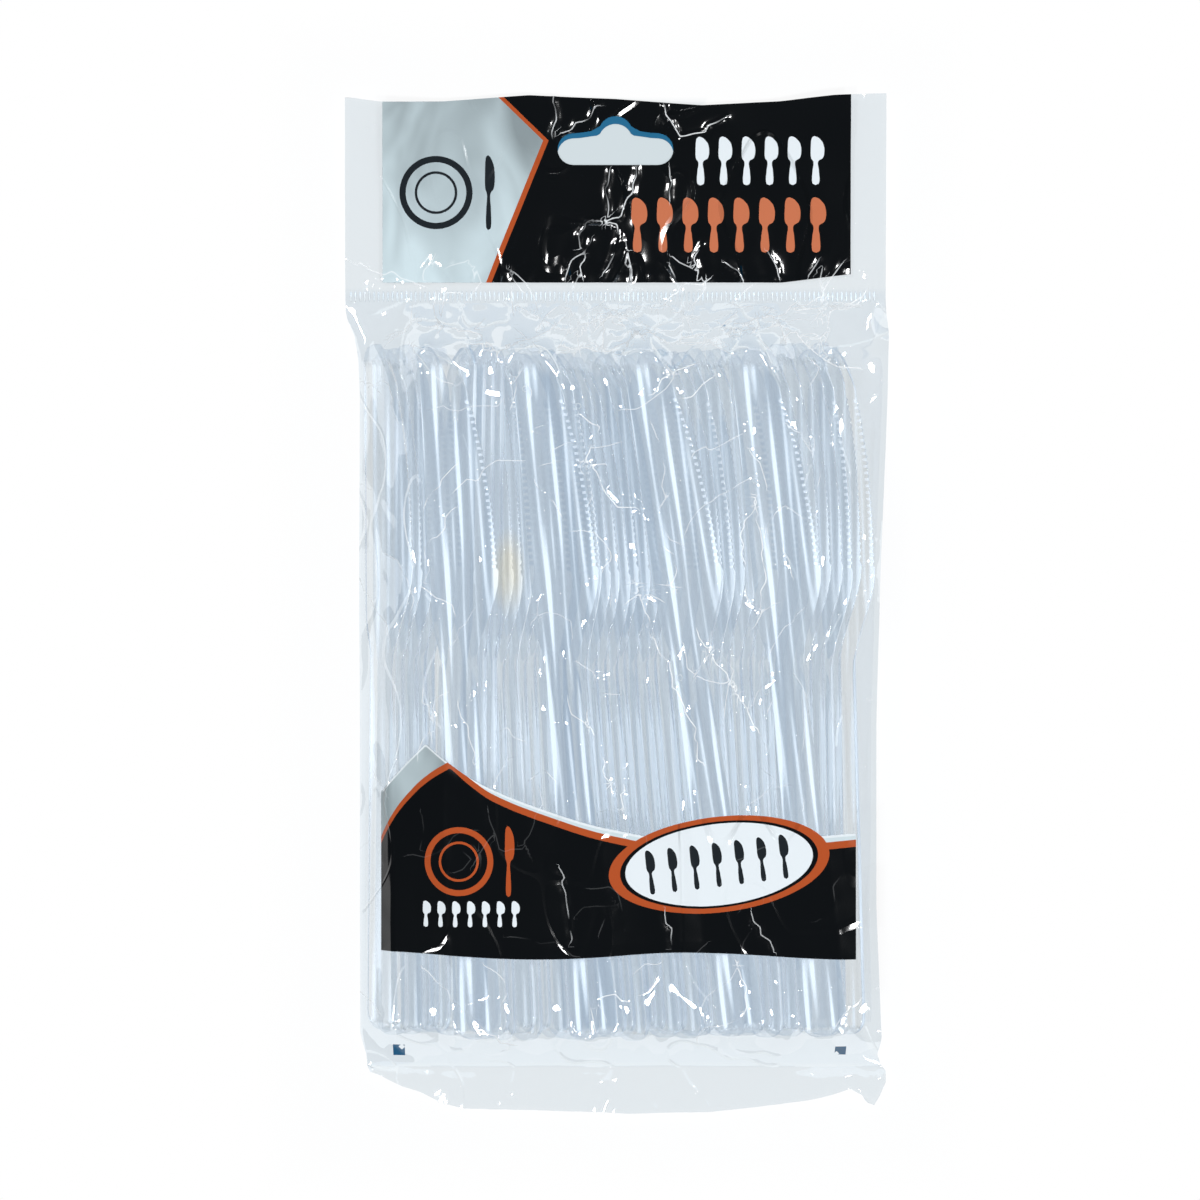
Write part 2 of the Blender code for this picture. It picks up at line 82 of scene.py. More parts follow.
class KnifeSettings(bpy.types.PropertyGroup):
    """One moulded knife, in its own frame: X across it, Y from the handle's end to the tip, Z through it."""

    handle_length: length("Handle length", "From the handle's round end to the neck", 0.096)
    blade_length: length("Blade length", "From the neck to the tip", 0.088)
    thickness: length("Thickness", "Through the rim", 0.0014)
    end_width: length("Handle end width", "Across the handle near its round end", 0.0126)
    handle_neck_width: length("Handle neck width", "Across the handle where it meets the neck", 0.0092)
    neck_width: length("Neck width", "Across the neck", 0.0088)
    end_radius: length("End radius", "Of the handle's corners", 0.005)
    spine_reach: length("Spine reach", "From the middle line to the blade's back", 0.0065)
    edge_reach: length("Edge reach", "From the middle line to the blade's belly", 0.0118)
    belly: length("Belly", "From the neck to the widest place of the blade", 0.028)
    tip_radius: length("Tip radius", "Of the corner between the blade's back and its tip", 0.004)
    rim: length("Rim width", "Of the raised rim", 0.0011)
    handle_sunk: length("Handle sunk", "How deep the handle's face lies under its rim", 0.00035)
    blade_sunk: length("Blade sunk", "How deep the blade's face lies under its back", 0.0003)
    edge_thickness: length("Edge thickness", "Of the blade at its teeth", 0.0005)
    bevel: length("Bevel", "Rounding of the moulded edges", 0.00026)
    rib_height: length("Rib height", "Of the long rib down the handle", 0.0003)
    rib_width: length("Rib width", "Of the long rib down the handle", 0.0016)
    tooth_pitch: length("Tooth pitch", "From tooth to tooth", 0.00175)
    tooth_depth: length("Tooth depth", "How far the gaps between teeth reach in", 0.00045)
    tooth_groove: length("Tooth groove", "How deep the gaps go into the blade's face", 0.00022)
    toothed_length: length("Toothed length", "Of the row of teeth, from the belly towards the tip", 0.046)
    tint: colour("Tint", "What the plastic lets through", (0.985, 0.995, 1.0))
    roughness: share("Roughness", "Of the plastic's polish", 0.0)
    deep_tint: colour("Deep tint", "What the plastic lets through under the top knives", (0.945, 0.962, 0.978))
    # Colours of the painted glow that stands in for light through the knives under the top ones
    painted_glow_blue: colour("Haze, darker", "How the deeper plastic of one knife looks", (0.58, 0.68, 0.80))
    painted_glow_pale: colour("Haze, paler", "How the deeper plastic of another knife looks", (0.88, 0.92, 0.96))
    painted_glow_line: colour("Haze, edges", "How the deeper edges and teeth look", (0.34, 0.44, 0.58))
    clearness: share("Clearness", "How much light passes; the rest is the plastic's own haze", 1.0)


class FilmSettings(bpy.types.PropertyGroup):
    """The bag's film and its print."""

    cell: length("Cell", "Spacing of the film's points", 0.00082)
    lay_flat: length("Lay flat", "Between the header's front and back", 0.0003)
    clearance: length("Clearance", "Between the film and the knives", 0.0003)
    bottom_seal: length("Bottom seal", "Where the pouch ends at the handles", -0.1245)
    top_seal: length("Top seal", "Where the pouch ends at the tips", 0.0815)
    header_foot: length("Header foot", "Upper edge of the crimped seal", 0.0845)
    slot_y: length("Slot place", "Middle of the hang slot", 0.1228)
    slot_width: length("Slot width", "Across the hang slot", 0.0313)
    slot_bar: length("Slot bar", "Height of the slot's bar", 0.0086)
    hump_radius: length("Hump radius", "Of the hump over the slot's bar", 0.0046)
    back_drop: length("Back layer drop", "How far the back layer's slot lies below the front's", 0.0014)
    side_seam: share("Side seam", "Height of the right side's fold, as a share of the pack's thickness", 0.72)
    vent_radius: length("Vent radius", "Of each small vent hole", 0.00075)
    rib_pitch: length("Crimp pitch", "From rib to rib in the crimped seal", 0.00125)
    black: colour("Black", "Print", (0.0015, 0.0022, 0.003))
    orange: colour("Orange", "Print", (0.44, 0.080, 0.020))
    salmon: colour("Salmon", "Print", (0.56, 0.17, 0.08))
    silver: colour("Silver", "Print", (0.41, 0.49, 0.52))
    pale: colour("Pale", "Print over the band", (0.60, 0.70, 0.74))
    white: colour("White", "Print", (0.76, 0.82, 0.86))
    blue: colour("Blue", "Print on the back layer", (0.012, 0.13, 0.26))
    # Painted shade: the film is darker where it covers the pouch
    pouch_painted_shade: colour("Pouch tint", "What the film lets through round the knives", (0.895, 0.92, 0.935))
    # Painted reflection: the colour of a warm glint, laid into what the film lets through
    warm_painted_glint: colour("Warm tint", "Where the stretched film shows its own colour", (1.0, 0.90, 0.74))
    film_tint: colour("Film tint", "What the film lets through", (0.93, 0.947, 0.953))


class StageSettings(bpy.types.PropertyGroup):
    """The floor, the lamps and the camera."""

    picture: bpy.props.IntProperty(name="Picture", description="Pixels along a side", default=1200)
    pixel: length("Pixel", "Size of a pixel at the floor", 0.00027)
    centre_x: bpy.props.FloatProperty(name="Centre X", description="The pack's middle in the picture", default=615.5)
    centre_y: bpy.props.FloatProperty(name="Centre Y", description="The pack's middle in the picture", default=604.0)
    height: length("Camera height", "Above the floor", 0.95)


# Meshes


def mesh_of(name, points, faces):
    mesh = bpy.data.meshes.new(name)
    mesh.from_pydata([tuple(p) for p in points], [], [tuple(f) for f in faces])
    mesh.validate()
    mesh.update()
    return mesh


def piece_of(name, mesh):
    made = bpy.data.objects.new(name, mesh)
    bpy.context.scene.collection.objects.link(made)
    return made


def smooth(part):
    part = np.clip(part, 0.0, 1.0)
    return part * part * (3 - 2 * part)


def between(value, low, high):
    """Eases from 0 at low to 1 at high."""
    return smooth((np.asarray(value, dtype=float) - low) / (high - low))


# Knives

KNIFE_LOOKS_SEED = 9
# Share of the row's knives with full painted lines (highlights and glow lines on rims and teeth), and how strong these
# painted lines are on the others
PLAIN_KNIVES = 0.2
FAINT_LINES = (0.3, 0.75)


def knife_stations(k):
    """Places along the knife where its section is drawn: close together at the ends and the teeth."""
    belly = k.handle_length + k.belly
    total = k.handle_length + k.blade_length
    end = [MM * y for y in (0.02, 0.2, 0.6, 1.05, 1.35, 1.8, 2.6, 3.6, 5.0)]
    handle = [MM * y for y in (14, 32, 50, 68, 82)]
    handle += [k.handle_length + MM * y for y in (-7.0, -5.6, -4.6, -3.4, -2.0)]
    neck = [k.handle_length + MM * y for y in (0.0, 2.0, 4.0, 4.8, 5.8, 8.0, 11.0, 14.0, 17.5, 21.0, 24.5)]
    teeth = int(k.toothed_length / k.tooth_pitch)
    toothed = [belly + MM * 0.5 + (n + part) * k.tooth_pitch for n in range(teeth) for part in (0.0, 0.33, 0.67)]
    tip = [total - MM * y for y in (11.5, 9.0, 6.5, 5.0, 4.0, 3.2, 2.4, 1.7, 1.1, 0.6, 0.25, 0.06)]
    return np.array([*end, *handle, *neck, belly, *toothed, *tip])


def knife_mesh(k):
    """Sixteen points round each section: flat underside, rimmed handle with a rib, toothed blade that thins."""
    y = knife_stations(k)
    total = k.handle_length + k.blade_length
    belly = k.handle_length + k.belly
    neck = k.handle_length + 2 * MM
    taper = (k.handle_neck_width - k.end_width) / 2 / (k.handle_length - k.end_radius)
    half = k.end_width / 2 + taper * (y - k.end_radius)
    inside = np.clip(k.end_radius - y, 0, k.end_radius)
    half = np.where(y < k.end_radius, k.end_width / 2 - k.end_radius + np.sqrt(k.end_radius**2 - inside**2), half)
    half = np.where(y > neck, k.neck_width / 2, half)
    right = half + (k.edge_reach - k.neck_width / 2) * between(y, neck, belly)
    left = half + (k.spine_reach - k.neck_width / 2) * between(y, neck, neck + k.belly / 2)
    tip_x = -k.spine_reach + k.tip_radius
    past_belly = np.clip((y - belly) / (total - belly), 0, 1)
    right = np.where(y > belly, tip_x + (k.edge_reach - tip_x) * np.sqrt(1 - past_belly**2), right)
    past_spine = np.clip(y - total + k.tip_radius, 0, k.tip_radius)
    left = np.where(past_spine > 0, -tip_x + np.sqrt(k.tip_radius**2 - past_spine**2), left)
    first_tooth = belly + 0.5 * MM
    teeth = int(k.toothed_length / k.tooth_pitch)
    last_tooth = first_tooth + teeth * k.tooth_pitch
    phase = ((y - first_tooth) / k.tooth_pitch) % 1.0
    toothed = (y > first_tooth - 1e-6) & (y < last_tooth)
    gap = np.where(toothed & (phase > 0.2) & (phase < 0.8), 1.0, 0.0)
    right = right - np.where(toothed, 0.25 * MM, 0) - gap * k.tooth_depth

    from_neck = y - k.handle_length
    from_tip = total - y
    blade = between(from_neck, -1 * MM, 8 * MM)
    sunk_handle = between(y, 1.2 * MM, 1.7 * MM) * (1 - between(from_neck, -5.6 * MM, -4.6 * MM))
    sunk_blade = between(from_neck, 4 * MM, 5.6 * MM) * between(from_tip, 3.4 * MM, 5 * MM)
    sunk = k.handle_sunk * sunk_handle + k.blade_sunk * sunk_blade
    rib = k.rib_height * sunk_handle * between(y, 5 * MM, 14 * MM) * (1 - between(from_neck, -18 * MM, -6 * MM))
    thin = blade * (1 - between(y, last_tooth, total - 3 * MM))
    edge = k.thickness + (k.edge_thickness - k.thickness) * thin
    middle = (right - left) / 2 * (1 - blade)
    floor = k.thickness - sunk
    rim = np.minimum(k.rim, 0.6 * np.minimum(left, right + left))
    step = np.minimum(0.25 * MM, 0.3 * (left + right))
    bevel = np.minimum(k.bevel, 0.3 * edge)

    def face(x):
        """Height of the sunk face: level on the handle, and falling to the edge on the blade."""
        along = np.clip((x + left) / (left + right), 0, 1)
        return floor + (edge - floor) * along * blade

    wide = 0.9 * MM * blade + rim * (1 - blade)
    wider = 1.9 * MM * blade + (rim + step) * (1 - blade)
    wide = np.minimum(wide, 0.3 * (left + right))
    wider = np.minimum(wider, 0.4 * (left + right))
    rim_top = k.thickness * (1 - blade) + blade * face(right - wide)
    ridge = np.minimum(k.rib_width / 2, 0.2 * (left + right))
    foot = np.minimum(k.rib_width * 0.8, 0.28 * (left + right))
    groove = gap * k.tooth_groove * 0.6
    sections = [
        (-left + bevel, 0 * y),
        (right - bevel, 0 * y),
        (right, bevel),
        (right, edge - bevel - groove * 0.5),
        (right - bevel, edge - groove * 0.6),
        (right - wide, rim_top - groove * 0.4),
        (right - wider, face(right - wider)),
        (middle + foot, face(middle + foot)),
        (middle + ridge, face(middle + ridge) + rib),
        (middle - ridge, face(middle - ridge) + rib),
        (middle - foot, face(middle - foot)),
        (-left + rim + step, face(-left + rim + step)),
        (-left + rim, k.thickness + 0 * y),
        (-left + bevel, k.thickness + 0 * y),
        (-left, k.thickness - bevel),
        (-left, bevel),
    ]
    points = np.array([[(x[n], y[n], z[n]) for x, z in sections] for n in range(len(y))])
    around = len(sections)
    faces = [
        (n * around + m, n * around + (m + 1) % around, (n + 1) * around + (m + 1) % around, (n + 1) * around + m)
        for n in range(len(y) - 1)
        for m in range(around)
    ]
    last = (len(y) - 1) * around
    faces += [tuple(range(around - 1, -1, -1)), tuple(range(last, last + around))]
    mesh = mesh_of("knife", points.reshape(-1, 3), faces)
    shape = bmesh.new()
    shape.from_mesh(mesh)
    bmesh.ops.recalc_face_normals(shape, faces=shape.faces)
    shape.to_mesh(mesh)
    shape.free()
    # Marks that place the painted highlights and painted glow lines on rims and teeth, and the painted glow at the
    # ends
    marks = {"tooth_gap": np.zeros(points.shape[:2]), "rim_line": np.zeros(points.shape[:2])}
    marks["tooth_gap"][:, 2:6] = gap[:, None]
    marks["rim_line"][:, [2, 3, 14, 15]] = 1.0
    marks["rim_line"][:, [8, 9]] = 0.6
    ends = 1 - between(from_tip, 3.5 * MM, 6 * MM) + 1 - between(y, 1.2 * MM, 2.4 * MM)
    marks["painted_glow_at_ends"] = np.repeat(ends[:, None], around, axis=1)
    for name, values in marks.items():
        mesh.attributes.new(name, "FLOAT", "POINT").data.foreach_set("value", values.ravel())
    own = mesh.uv_layers.new(name="own_place")
    for loop in mesh.loops:
        spot = mesh.vertices[loop.vertex_index].co
        own.uv[loop.index].vector = (spot.x * 10, spot.y * 10)
    rounded_edges(mesh)
    return mesh


def rounded_edges(mesh):
    """Normals that leave the wide faces flat and turn round in the narrow ones beside them."""
    mesh.shade_smooth()
    turned = np.zeros((len(mesh.vertices), 3))
    for face in mesh.polygons:
        turned[list(face.vertices)] += np.array(face.normal) * face.area
    turned /= np.maximum(np.linalg.norm(turned, axis=1), 1e-12)[:, None]
    mesh.normals_split_custom_set_from_vertices([tuple(n) for n in turned])


def knife_place(node, k):
    """The frame of a packed knife, from its flat underside and the two straight sides of its handle."""
    mesh = node.data
    points = np.array([v.co[:] for v in mesh.vertices])
    corners = np.array([p.vertices[:] for p in mesh.polygons])
    a, b, c = (points[corners[:, n]] for n in range(3))
    cross = np.cross(b - a, c - a)
    area = np.linalg.norm(cross, axis=1)
    normal = cross / np.maximum(area, 1e-18)[:, None]
    offset = np.einsum("ij,ij->i", normal, a)
    level = (normal @ normal.T > 0.9999) & (np.abs(offset[:, None] - offset[None, :]) < 0.03 * MM)
    best = int(np.argmax(level @ area))
    under = corners[level[best]]
    keys = np.round(points / (0.01 * MM)).astype(int)
    _, index = np.unique(keys, axis=0, return_inverse=True)
    index = index.reshape(-1)
    place = {int(index[n]): points[n] for n in range(len(points))}
    count = {}
    for triangle in under:
        for m in range(3):
            pair = tuple(sorted((int(index[triangle[m]]), int(index[triangle[(m + 1) % 3]]))))
            count[pair] = count.get(pair, 0) + 1
    rim = [pair for pair, times in count.items() if times == 1]
    middle = points[under.reshape(-1)].mean(axis=0)
    rim.sort(key=lambda pair: -np.linalg.norm(place[pair[0]] - place[pair[1]]))
    far, near = [], []
    for pair in rim[:2]:
        ends = sorted((place[pair[0]], place[pair[1]]), key=lambda p: -np.linalg.norm(p - middle))
        far.append(ends[0])
        near.append(ends[1])
    start = Vector((far[0] + far[1]) / 2)
    along = (Vector((near[0] + near[1]) / 2) - start).normalized()
    up = -Vector(normal[best]).normalized()
    across = along.cross(up).normalized()
    up = across.cross(along)
    origin = start - along * k.end_radius
    turn = Matrix((across, along, up)).transposed().to_4x4()
    return Matrix.Translation(origin) @ turn


class CUTLERY_OT_knives(bpy.types.Operator):
    """Moulds every clear knife where the frame has one"""

    bl_idname = "cutlery.knives"
    bl_label = "Clear knives"

    def execute(self, context):
        k = context.scene.cutlery_knife
        base = knife_mesh(k)
        plastic = clear_plastic(k)
        base.materials.append(plastic)
        chance = random.Random(KNIFE_LOOKS_SEED)
        names = sorted(n for n in NODES if n.startswith("knife_"))
        highest = max(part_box(name)[1].z for name in names)
        for name in names:
            mesh = base.copy()
            mesh.name = f"clear_{name}"
            on_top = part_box(name)[1].z > highest - 1.5 * MM
            plain = 1.0 if on_top or chance.random() < PLAIN_KNIVES else chance.uniform(*FAINT_LINES)
            for mark in ("tooth_gap", "rim_line"):
                values = np.zeros(len(mesh.vertices), dtype=np.float32)
                mesh.attributes[mark].data.foreach_get("value", values)
                mesh.attributes[mark].data.foreach_set("value", values * plain)
            # A random tone for each knife's painted glow
            shade = np.full(len(mesh.vertices), chance.random(), dtype=np.float32)
            mesh.attributes.new("painted_glow_tone", "FLOAT", "POINT").data.foreach_set("value", shade)
            mesh.transform(knife_place(NODES[name], k))
            made = piece_of(f"clear_{name}", mesh)
            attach(made, BODY)
            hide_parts(name)
        bpy.data.meshes.remove(base)
        return {"FINISHED"}


# Film

# The film's back has one point for this many along its front
COARSE = 4
# Numbers of the film's looks, in the order in which its mesh holds them
HEADER, BACK, BAND, CLEAR = range(4)
# Small creases over the pouch and under its top seal, and the seed that strews them
POUCH_CREASES = 84
SEAL_CREASES = 54
CREASE_SEED = 4
# How often the film is pulled tight
PULLS = 500
# Where the front has no print, and its two register marks, in millimetres
CLEAR_POUCH = (-33.0, 84.5)
CLEAR_FOOT = -97.5
MARK_X, MARK_Y, MARK_REACH = 59.2, -119.8, 4.0
# Small vent holes, in millimetres
VENTS = ((-24.0, 57.0), (-10.0, 52.5), (37.0, 32.7), (17.0, -19.5), (40.0, -23.2))
# Sharp folds pressed into the film: how far each stands up, and the points of its line, in millimetres
FOLDS = (
    (0.7, ((-16.6, 137.4), (-16.9, 125.1))), (0.7, ((-4.3, 134.5), (-11.9, 127.9), (-14.6, 127.0))),
    (1.0, ((13.2, 134.5), (17.5, 126.0), (21.3, 126.9), (29.8, 131.2))), (0.7, ((14.6, 117.5), (14.6, 109.0))),
    (0.9, ((5.6, 117.9), (4.7, 110.9), (1.4, 104.2), (-8.1, 102.8), (-10.0, 99.5), (-8.1, 92.9), (-9.0, 88.1))),
    (0.6, ((-1.5, 117.4), (-2.4, 102.3))), (0.9, ((-6.2, 103.3), (0.4, 102.3), (1.4, 97.6), (-3.4, 89.1))),
    (0.9, ((3.3, 94.7), (4.2, 87.2))), (0.8, ((14.6, 91.0), (16.5, 87.2))), (0.9, ((29.8, 91.9), (34.5, 87.2))),
    (0.8, ((41.2, 94.7), (44.0, 88.1))), (0.8, ((-28.9, 90.0), (-25.1, 84.3))), (0.6, ((-72.5, 92.8), (-51.7, 85.7))),
    (0.9, ((22.0, 88.0), (21.0, 93.0), (23.5, 97.0))), (0.7, ((-13.5, 88.0), (-12.0, 92.5), (-6.5, 98.0))),
    (0.6, ((52.0, 88.5), (55.0, 93.0))), (0.6, ((-52.0, 88.0), (-49.0, 93.5))), (0.5, ((-38.0, 87.5), (-39.5, 92.5))),
    (0.9, ((-8.9, 49.9), (-4.2, 47.1), (-8.0, 38.7), (-3.3, 30.4), (0.4, 25.7), (7.0, 24.1))),
    (0.6, ((-42.4, 36.9), (-50.7, 25.7))), (0.6, ((-42.4, 25.7), (-50.7, 12.7))), (0.7, ((5.1, 6.2), (10.6, -9.6))),
    (0.9, ((9.7, 55.4), (16.2, 62.0), (20.9, 63.8))), (0.8, ((18.1, 54.5), (25.5, 60.1))),
    (0.9, ((-1.4, 72.2), (5.1, 73.1), (16.2, 69.4), (21.8, 72.2), (33.9, 73.1))),
    (0.8, ((36.7, 28.5), (32.9, 18.3), (34.8, 1.5), (38.5, -2.2), (39.5, 9.0), (36.7, 28.5))),
    (0.6, ((13.4, 14.5), (16.2, 9.0), (15.3, 3.4))),
    (0.8, ((-2.0, -13.6), (-7.7, -29.7), (-4.9, -37.3), (-1.1, -49.6))),
    (0.9, ((21.6, -7.0), (27.3, -16.4), (34.9, -27.8), (39.6, -37.3))),
    (0.9, ((8.4, -6.0), (15.0, -19.3), (22.8, -42.1))), (0.6, ((-51.3, 4.4), (-42.7, -2.7))),
    (0.6, ((-51.3, -23.1), (-48.9, -36.3))), (0.6, ((-41.8, -25.9), (-39.0, -35.4), (-37.1, -43.0))),
    (0.7, ((-22.9, -46.8), (-19.1, -43.9), (-16.2, -46.8))), (0.8, ((-2.0, -48.7), (2.7, -43.0), (1.8, -56.2))),
    (0.8, ((-4.9, -114.0), (-6.8, -106.4), (-0.1, -103.6), (2.7, -105.5))),
    (0.7, ((-51.3, -96.9), (-35.2, -113.0), (-27.6, -117.8))), (0.8, ((32.0, -95.0), (34.9, -101.7), (33.9, -109.2))),
    (0.5, ((13.0, -82.0), (15.0, -91.0))), (0.5, ((36.0, -82.0), (42.0, -92.0))),
    (0.5, ((-15.0, -70.0), (-12.0, -90.0))),
)


def crossings(node, axis, values):
    """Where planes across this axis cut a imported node's mesh: the lowest and highest reach on the other axis."""
    points = np.array([v.co[:] for v in node.data.vertices])
    edges = np.array([e.vertices[:] for e in node.data.edges])
    start, end = points[edges[:, 0]], points[edges[:, 1]]
    other = 1 - axis
    low, high = [], []
    for value in values:
        hit = (start[:, axis] - value) * (end[:, axis] - value) <= 0
        run = end[hit, axis] - start[hit, axis]
        part = np.where(np.abs(run) > 1e-9, (value - start[hit, axis]) / np.where(np.abs(run) > 1e-9, run, 1), 0.5)
        reach = start[hit, other] + part * (end[hit, other] - start[hit, other])
        low.append(reach.min() if len(reach) else np.nan)
        high.append(reach.max() if len(reach) else np.nan)
    low, high = np.array(low), np.array(high)
    good = ~np.isnan(low)
    return np.interp(values, np.array(values)[good], low[good]), np.interp(values, np.array(values)[good], high[good])


def film_plan(f):
    """The film's points as seen from above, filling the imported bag's outline. Rows run along Y, columns along X."""
    bag = NODES["film_bag"]
    low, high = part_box("film_bag")
    columns = int(round((high.x - low.x) / f.cell / COARSE)) * COARSE + 1
    rows = int(round((high.y - low.y) / f.cell / COARSE)) * COARSE + 1
    across = np.linspace(0, 1, columns)
    level = np.linspace(low.y, high.y, rows)
    sampled = np.clip(level, f.bottom_seal + 0.1 * MM, f.slot_y - 0.1 * MM)
    left, right = crossings(bag, 1, sampled)
    flap = 1 - between(level, f.bottom_seal - 4 * MM, f.bottom_seal)
    right = right + (high.x - 0.0001 - right) * flap
    x = left[:, None] + (right - left)[:, None] * across[None, :]
    steps = np.linspace(low.x + 0.2 * MM, high.x - 0.2 * MM, 4 * columns)
    bottom, top = crossings(bag, 0, steps)
    bottom = np.interp(x, steps, bottom)
    top = np.interp(x, steps, top)
    y = np.repeat(level[:, None], columns, axis=1)
    under = f.bottom_seal - (f.bottom_seal - bottom) * (f.bottom_seal - y) / (f.bottom_seal - low.y)
    over = f.slot_y + (top - f.slot_y) * (y - f.slot_y) / (high.y - f.slot_y)
    y = np.where(y < f.bottom_seal, under, np.where(y > f.slot_y, over, y))
    return x, y, level


def knives_below():
    """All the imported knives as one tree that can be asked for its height."""
    points, faces = [], []
    for name in sorted(n for n in NODES if n.startswith("knife_")):
        first = len(points)
        points += [v.co.copy() for v in NODES[name].data.vertices]
        faces += [[first + v for v in p.vertices] for p in NODES[name].data.polygons]
    return BVHTree.FromPolygons(points, faces)


def heights_over(tree, x, y):
    """Height of what lies under each point, and a low value where nothing does."""
    down = Vector((0, 0, -1))
    found = np.full(x.shape, -1.0)
    for row in range(x.shape[0]):
        for column in range(x.shape[1]):
            hit = tree.ray_cast(Vector((x[row, column], y[row, column], 0.1)), down)[0]
            if hit is not None:
                found[row, column] = hit.z
    return found


def spread_up(heights, reach):
    """Each point takes the highest value near it, so that the film clears what lies between its points."""
    padded = np.pad(heights, reach, mode="edge")
    rows, columns = heights.shape
    layers = [
        padded[a : a + rows, b : b + columns] for a in range(2 * reach + 1) for b in range(2 * reach + 1)
    ]
    return np.max(layers, axis=0)


def stretched(start, fixed, obstacle, rounds):
    """Pulls the film tight between its fixed points and over the obstacle."""
    height = start.copy()
    for _ in range(rounds):
        pulled = height.copy()
        pulled[1:-1, 1:-1] = (
            height[:-2, 1:-1] + height[2:, 1:-1] + height[1:-1, :-2] + height[1:-1, 2:]
        ) / 4
        height = np.where(fixed, start, np.maximum(pulled, obstacle))
    return height


def crease(x, y, points):
    """Distance from a broken line of points in millimetres, with a sign that tells its two sides apart."""
    best = np.full(x.shape, 9 * MM)
    for (ax, ay), (bx, by) in zip(points, points[1:]):
        run = np.array((bx - ax, by - ay)) * MM
        from_x, from_y = x - ax * MM, y - ay * MM
        held = np.clip((from_x * run[0] + from_y * run[1]) / float(run @ run), 0, 1)
        away = np.hypot(from_x - held * run[0], from_y - held * run[1])
        side = np.where(from_x * run[1] - from_y * run[0] < 0, -1.0, 1.0)
        best = np.where(away < np.abs(best), away * side, best)
    return best


def wandering(chance, x, y, angle):
    """A crease's broken line, in millimetres, from one place and heading."""
    points = [(x, y)]
    for _ in range(chance.randint(3, 8)):
        step = chance.uniform(1.5, 4.5)
        angle += chance.gauss(0, 0.6)
        x, y = x + step * math.cos(angle), y + step * math.sin(angle)
        points.append((x, y))
    return points


def jagged(chance, points):
    """The same line with small random corners along it."""
    broken = []
    for (ax, ay), (bx, by) in zip(points, points[1:]):
        steps = max(1, round(math.hypot(bx - ax, by - ay) / 2.2))
        for n in range(steps):
            off = 0.55 if n else 0.0
            x, y = ax + (bx - ax) * n / steps, ay + (by - ay) * n / steps
            broken.append((x + chance.gauss(0, off), y + chance.gauss(0, off)))
    return [*broken, points[-1]]


def bands(x, y, seed, size, stretch, turn):
    """Gentle random waves, longer along one way than across it."""
    chance = random.Random(seed)
    total = np.zeros(x.shape)
    for _ in range(7):
        angle = turn + chance.gauss(0, 0.35)
        wave = size * chance.uniform(0.6, 1.7)
        along = x * math.cos(angle) + y * math.sin(angle)
        across = -x * math.sin(angle) + y * math.cos(angle)
        bend = 0.35 * np.sin(across * 2 * math.pi / (wave * stretch) + chance.uniform(0, 6.3))
        total += np.sin(along * 2 * math.pi / wave + bend * 3 + chance.uniform(0, 6.3))
    return total / 7


def film_heights(f, x, y, level):
    """Heights of the film's front and back."""
    rows = level[:, None] + 0 * x
    pouch = (rows > f.bottom_seal) & (rows < f.top_seal)
    tree = knives_below()
    found = heights_over(tree, x, y)
    obstacle = np.where(pouch & (found > 0), spread_up(found, 1) + f.clearance, -1)
    crown = np.max(np.where(pouch, found, 0), axis=1, keepdims=True)
    crown = np.interp(level, level[::4], crown[::4, 0])[:, None]
    fade = between(rows, f.bottom_seal, f.bottom_seal + 8 * MM) * (1 - between(rows, f.top_seal - 11 * MM, f.top_seal))
    thickness = float(found.max())
    seam_left = 0.06 * thickness * fade
    seam_right = f.side_seam * thickness * fade
    start = np.where(pouch, np.maximum(obstacle, f.lay_flat), f.lay_flat)
    fixed = ~pouch
    fixed[:, 0] = True
    fixed[:, -1] = True
    start[:, 0] = f.lay_flat + seam_left[:, 0]
    start[:, -1] = f.lay_flat + seam_right[:, -1]
    front = stretched(start, fixed, obstacle, PULLS)
    left, right = x[:, :1], x[:, -1:]
    run = 14.2 * MM * np.maximum(crown * fade, f.lay_flat) / thickness + 1e-6
    lean = np.sin(np.pi / 2 * np.clip((right - x) / run, 0, 1))
    tuck = np.sin(np.pi / 2 * np.clip((x - left) / (1.0 * MM), 0, 1))
    back = np.maximum(seam_right * (1 - lean), seam_left * (1 - tuck))
    return front, back, obstacle, pouch


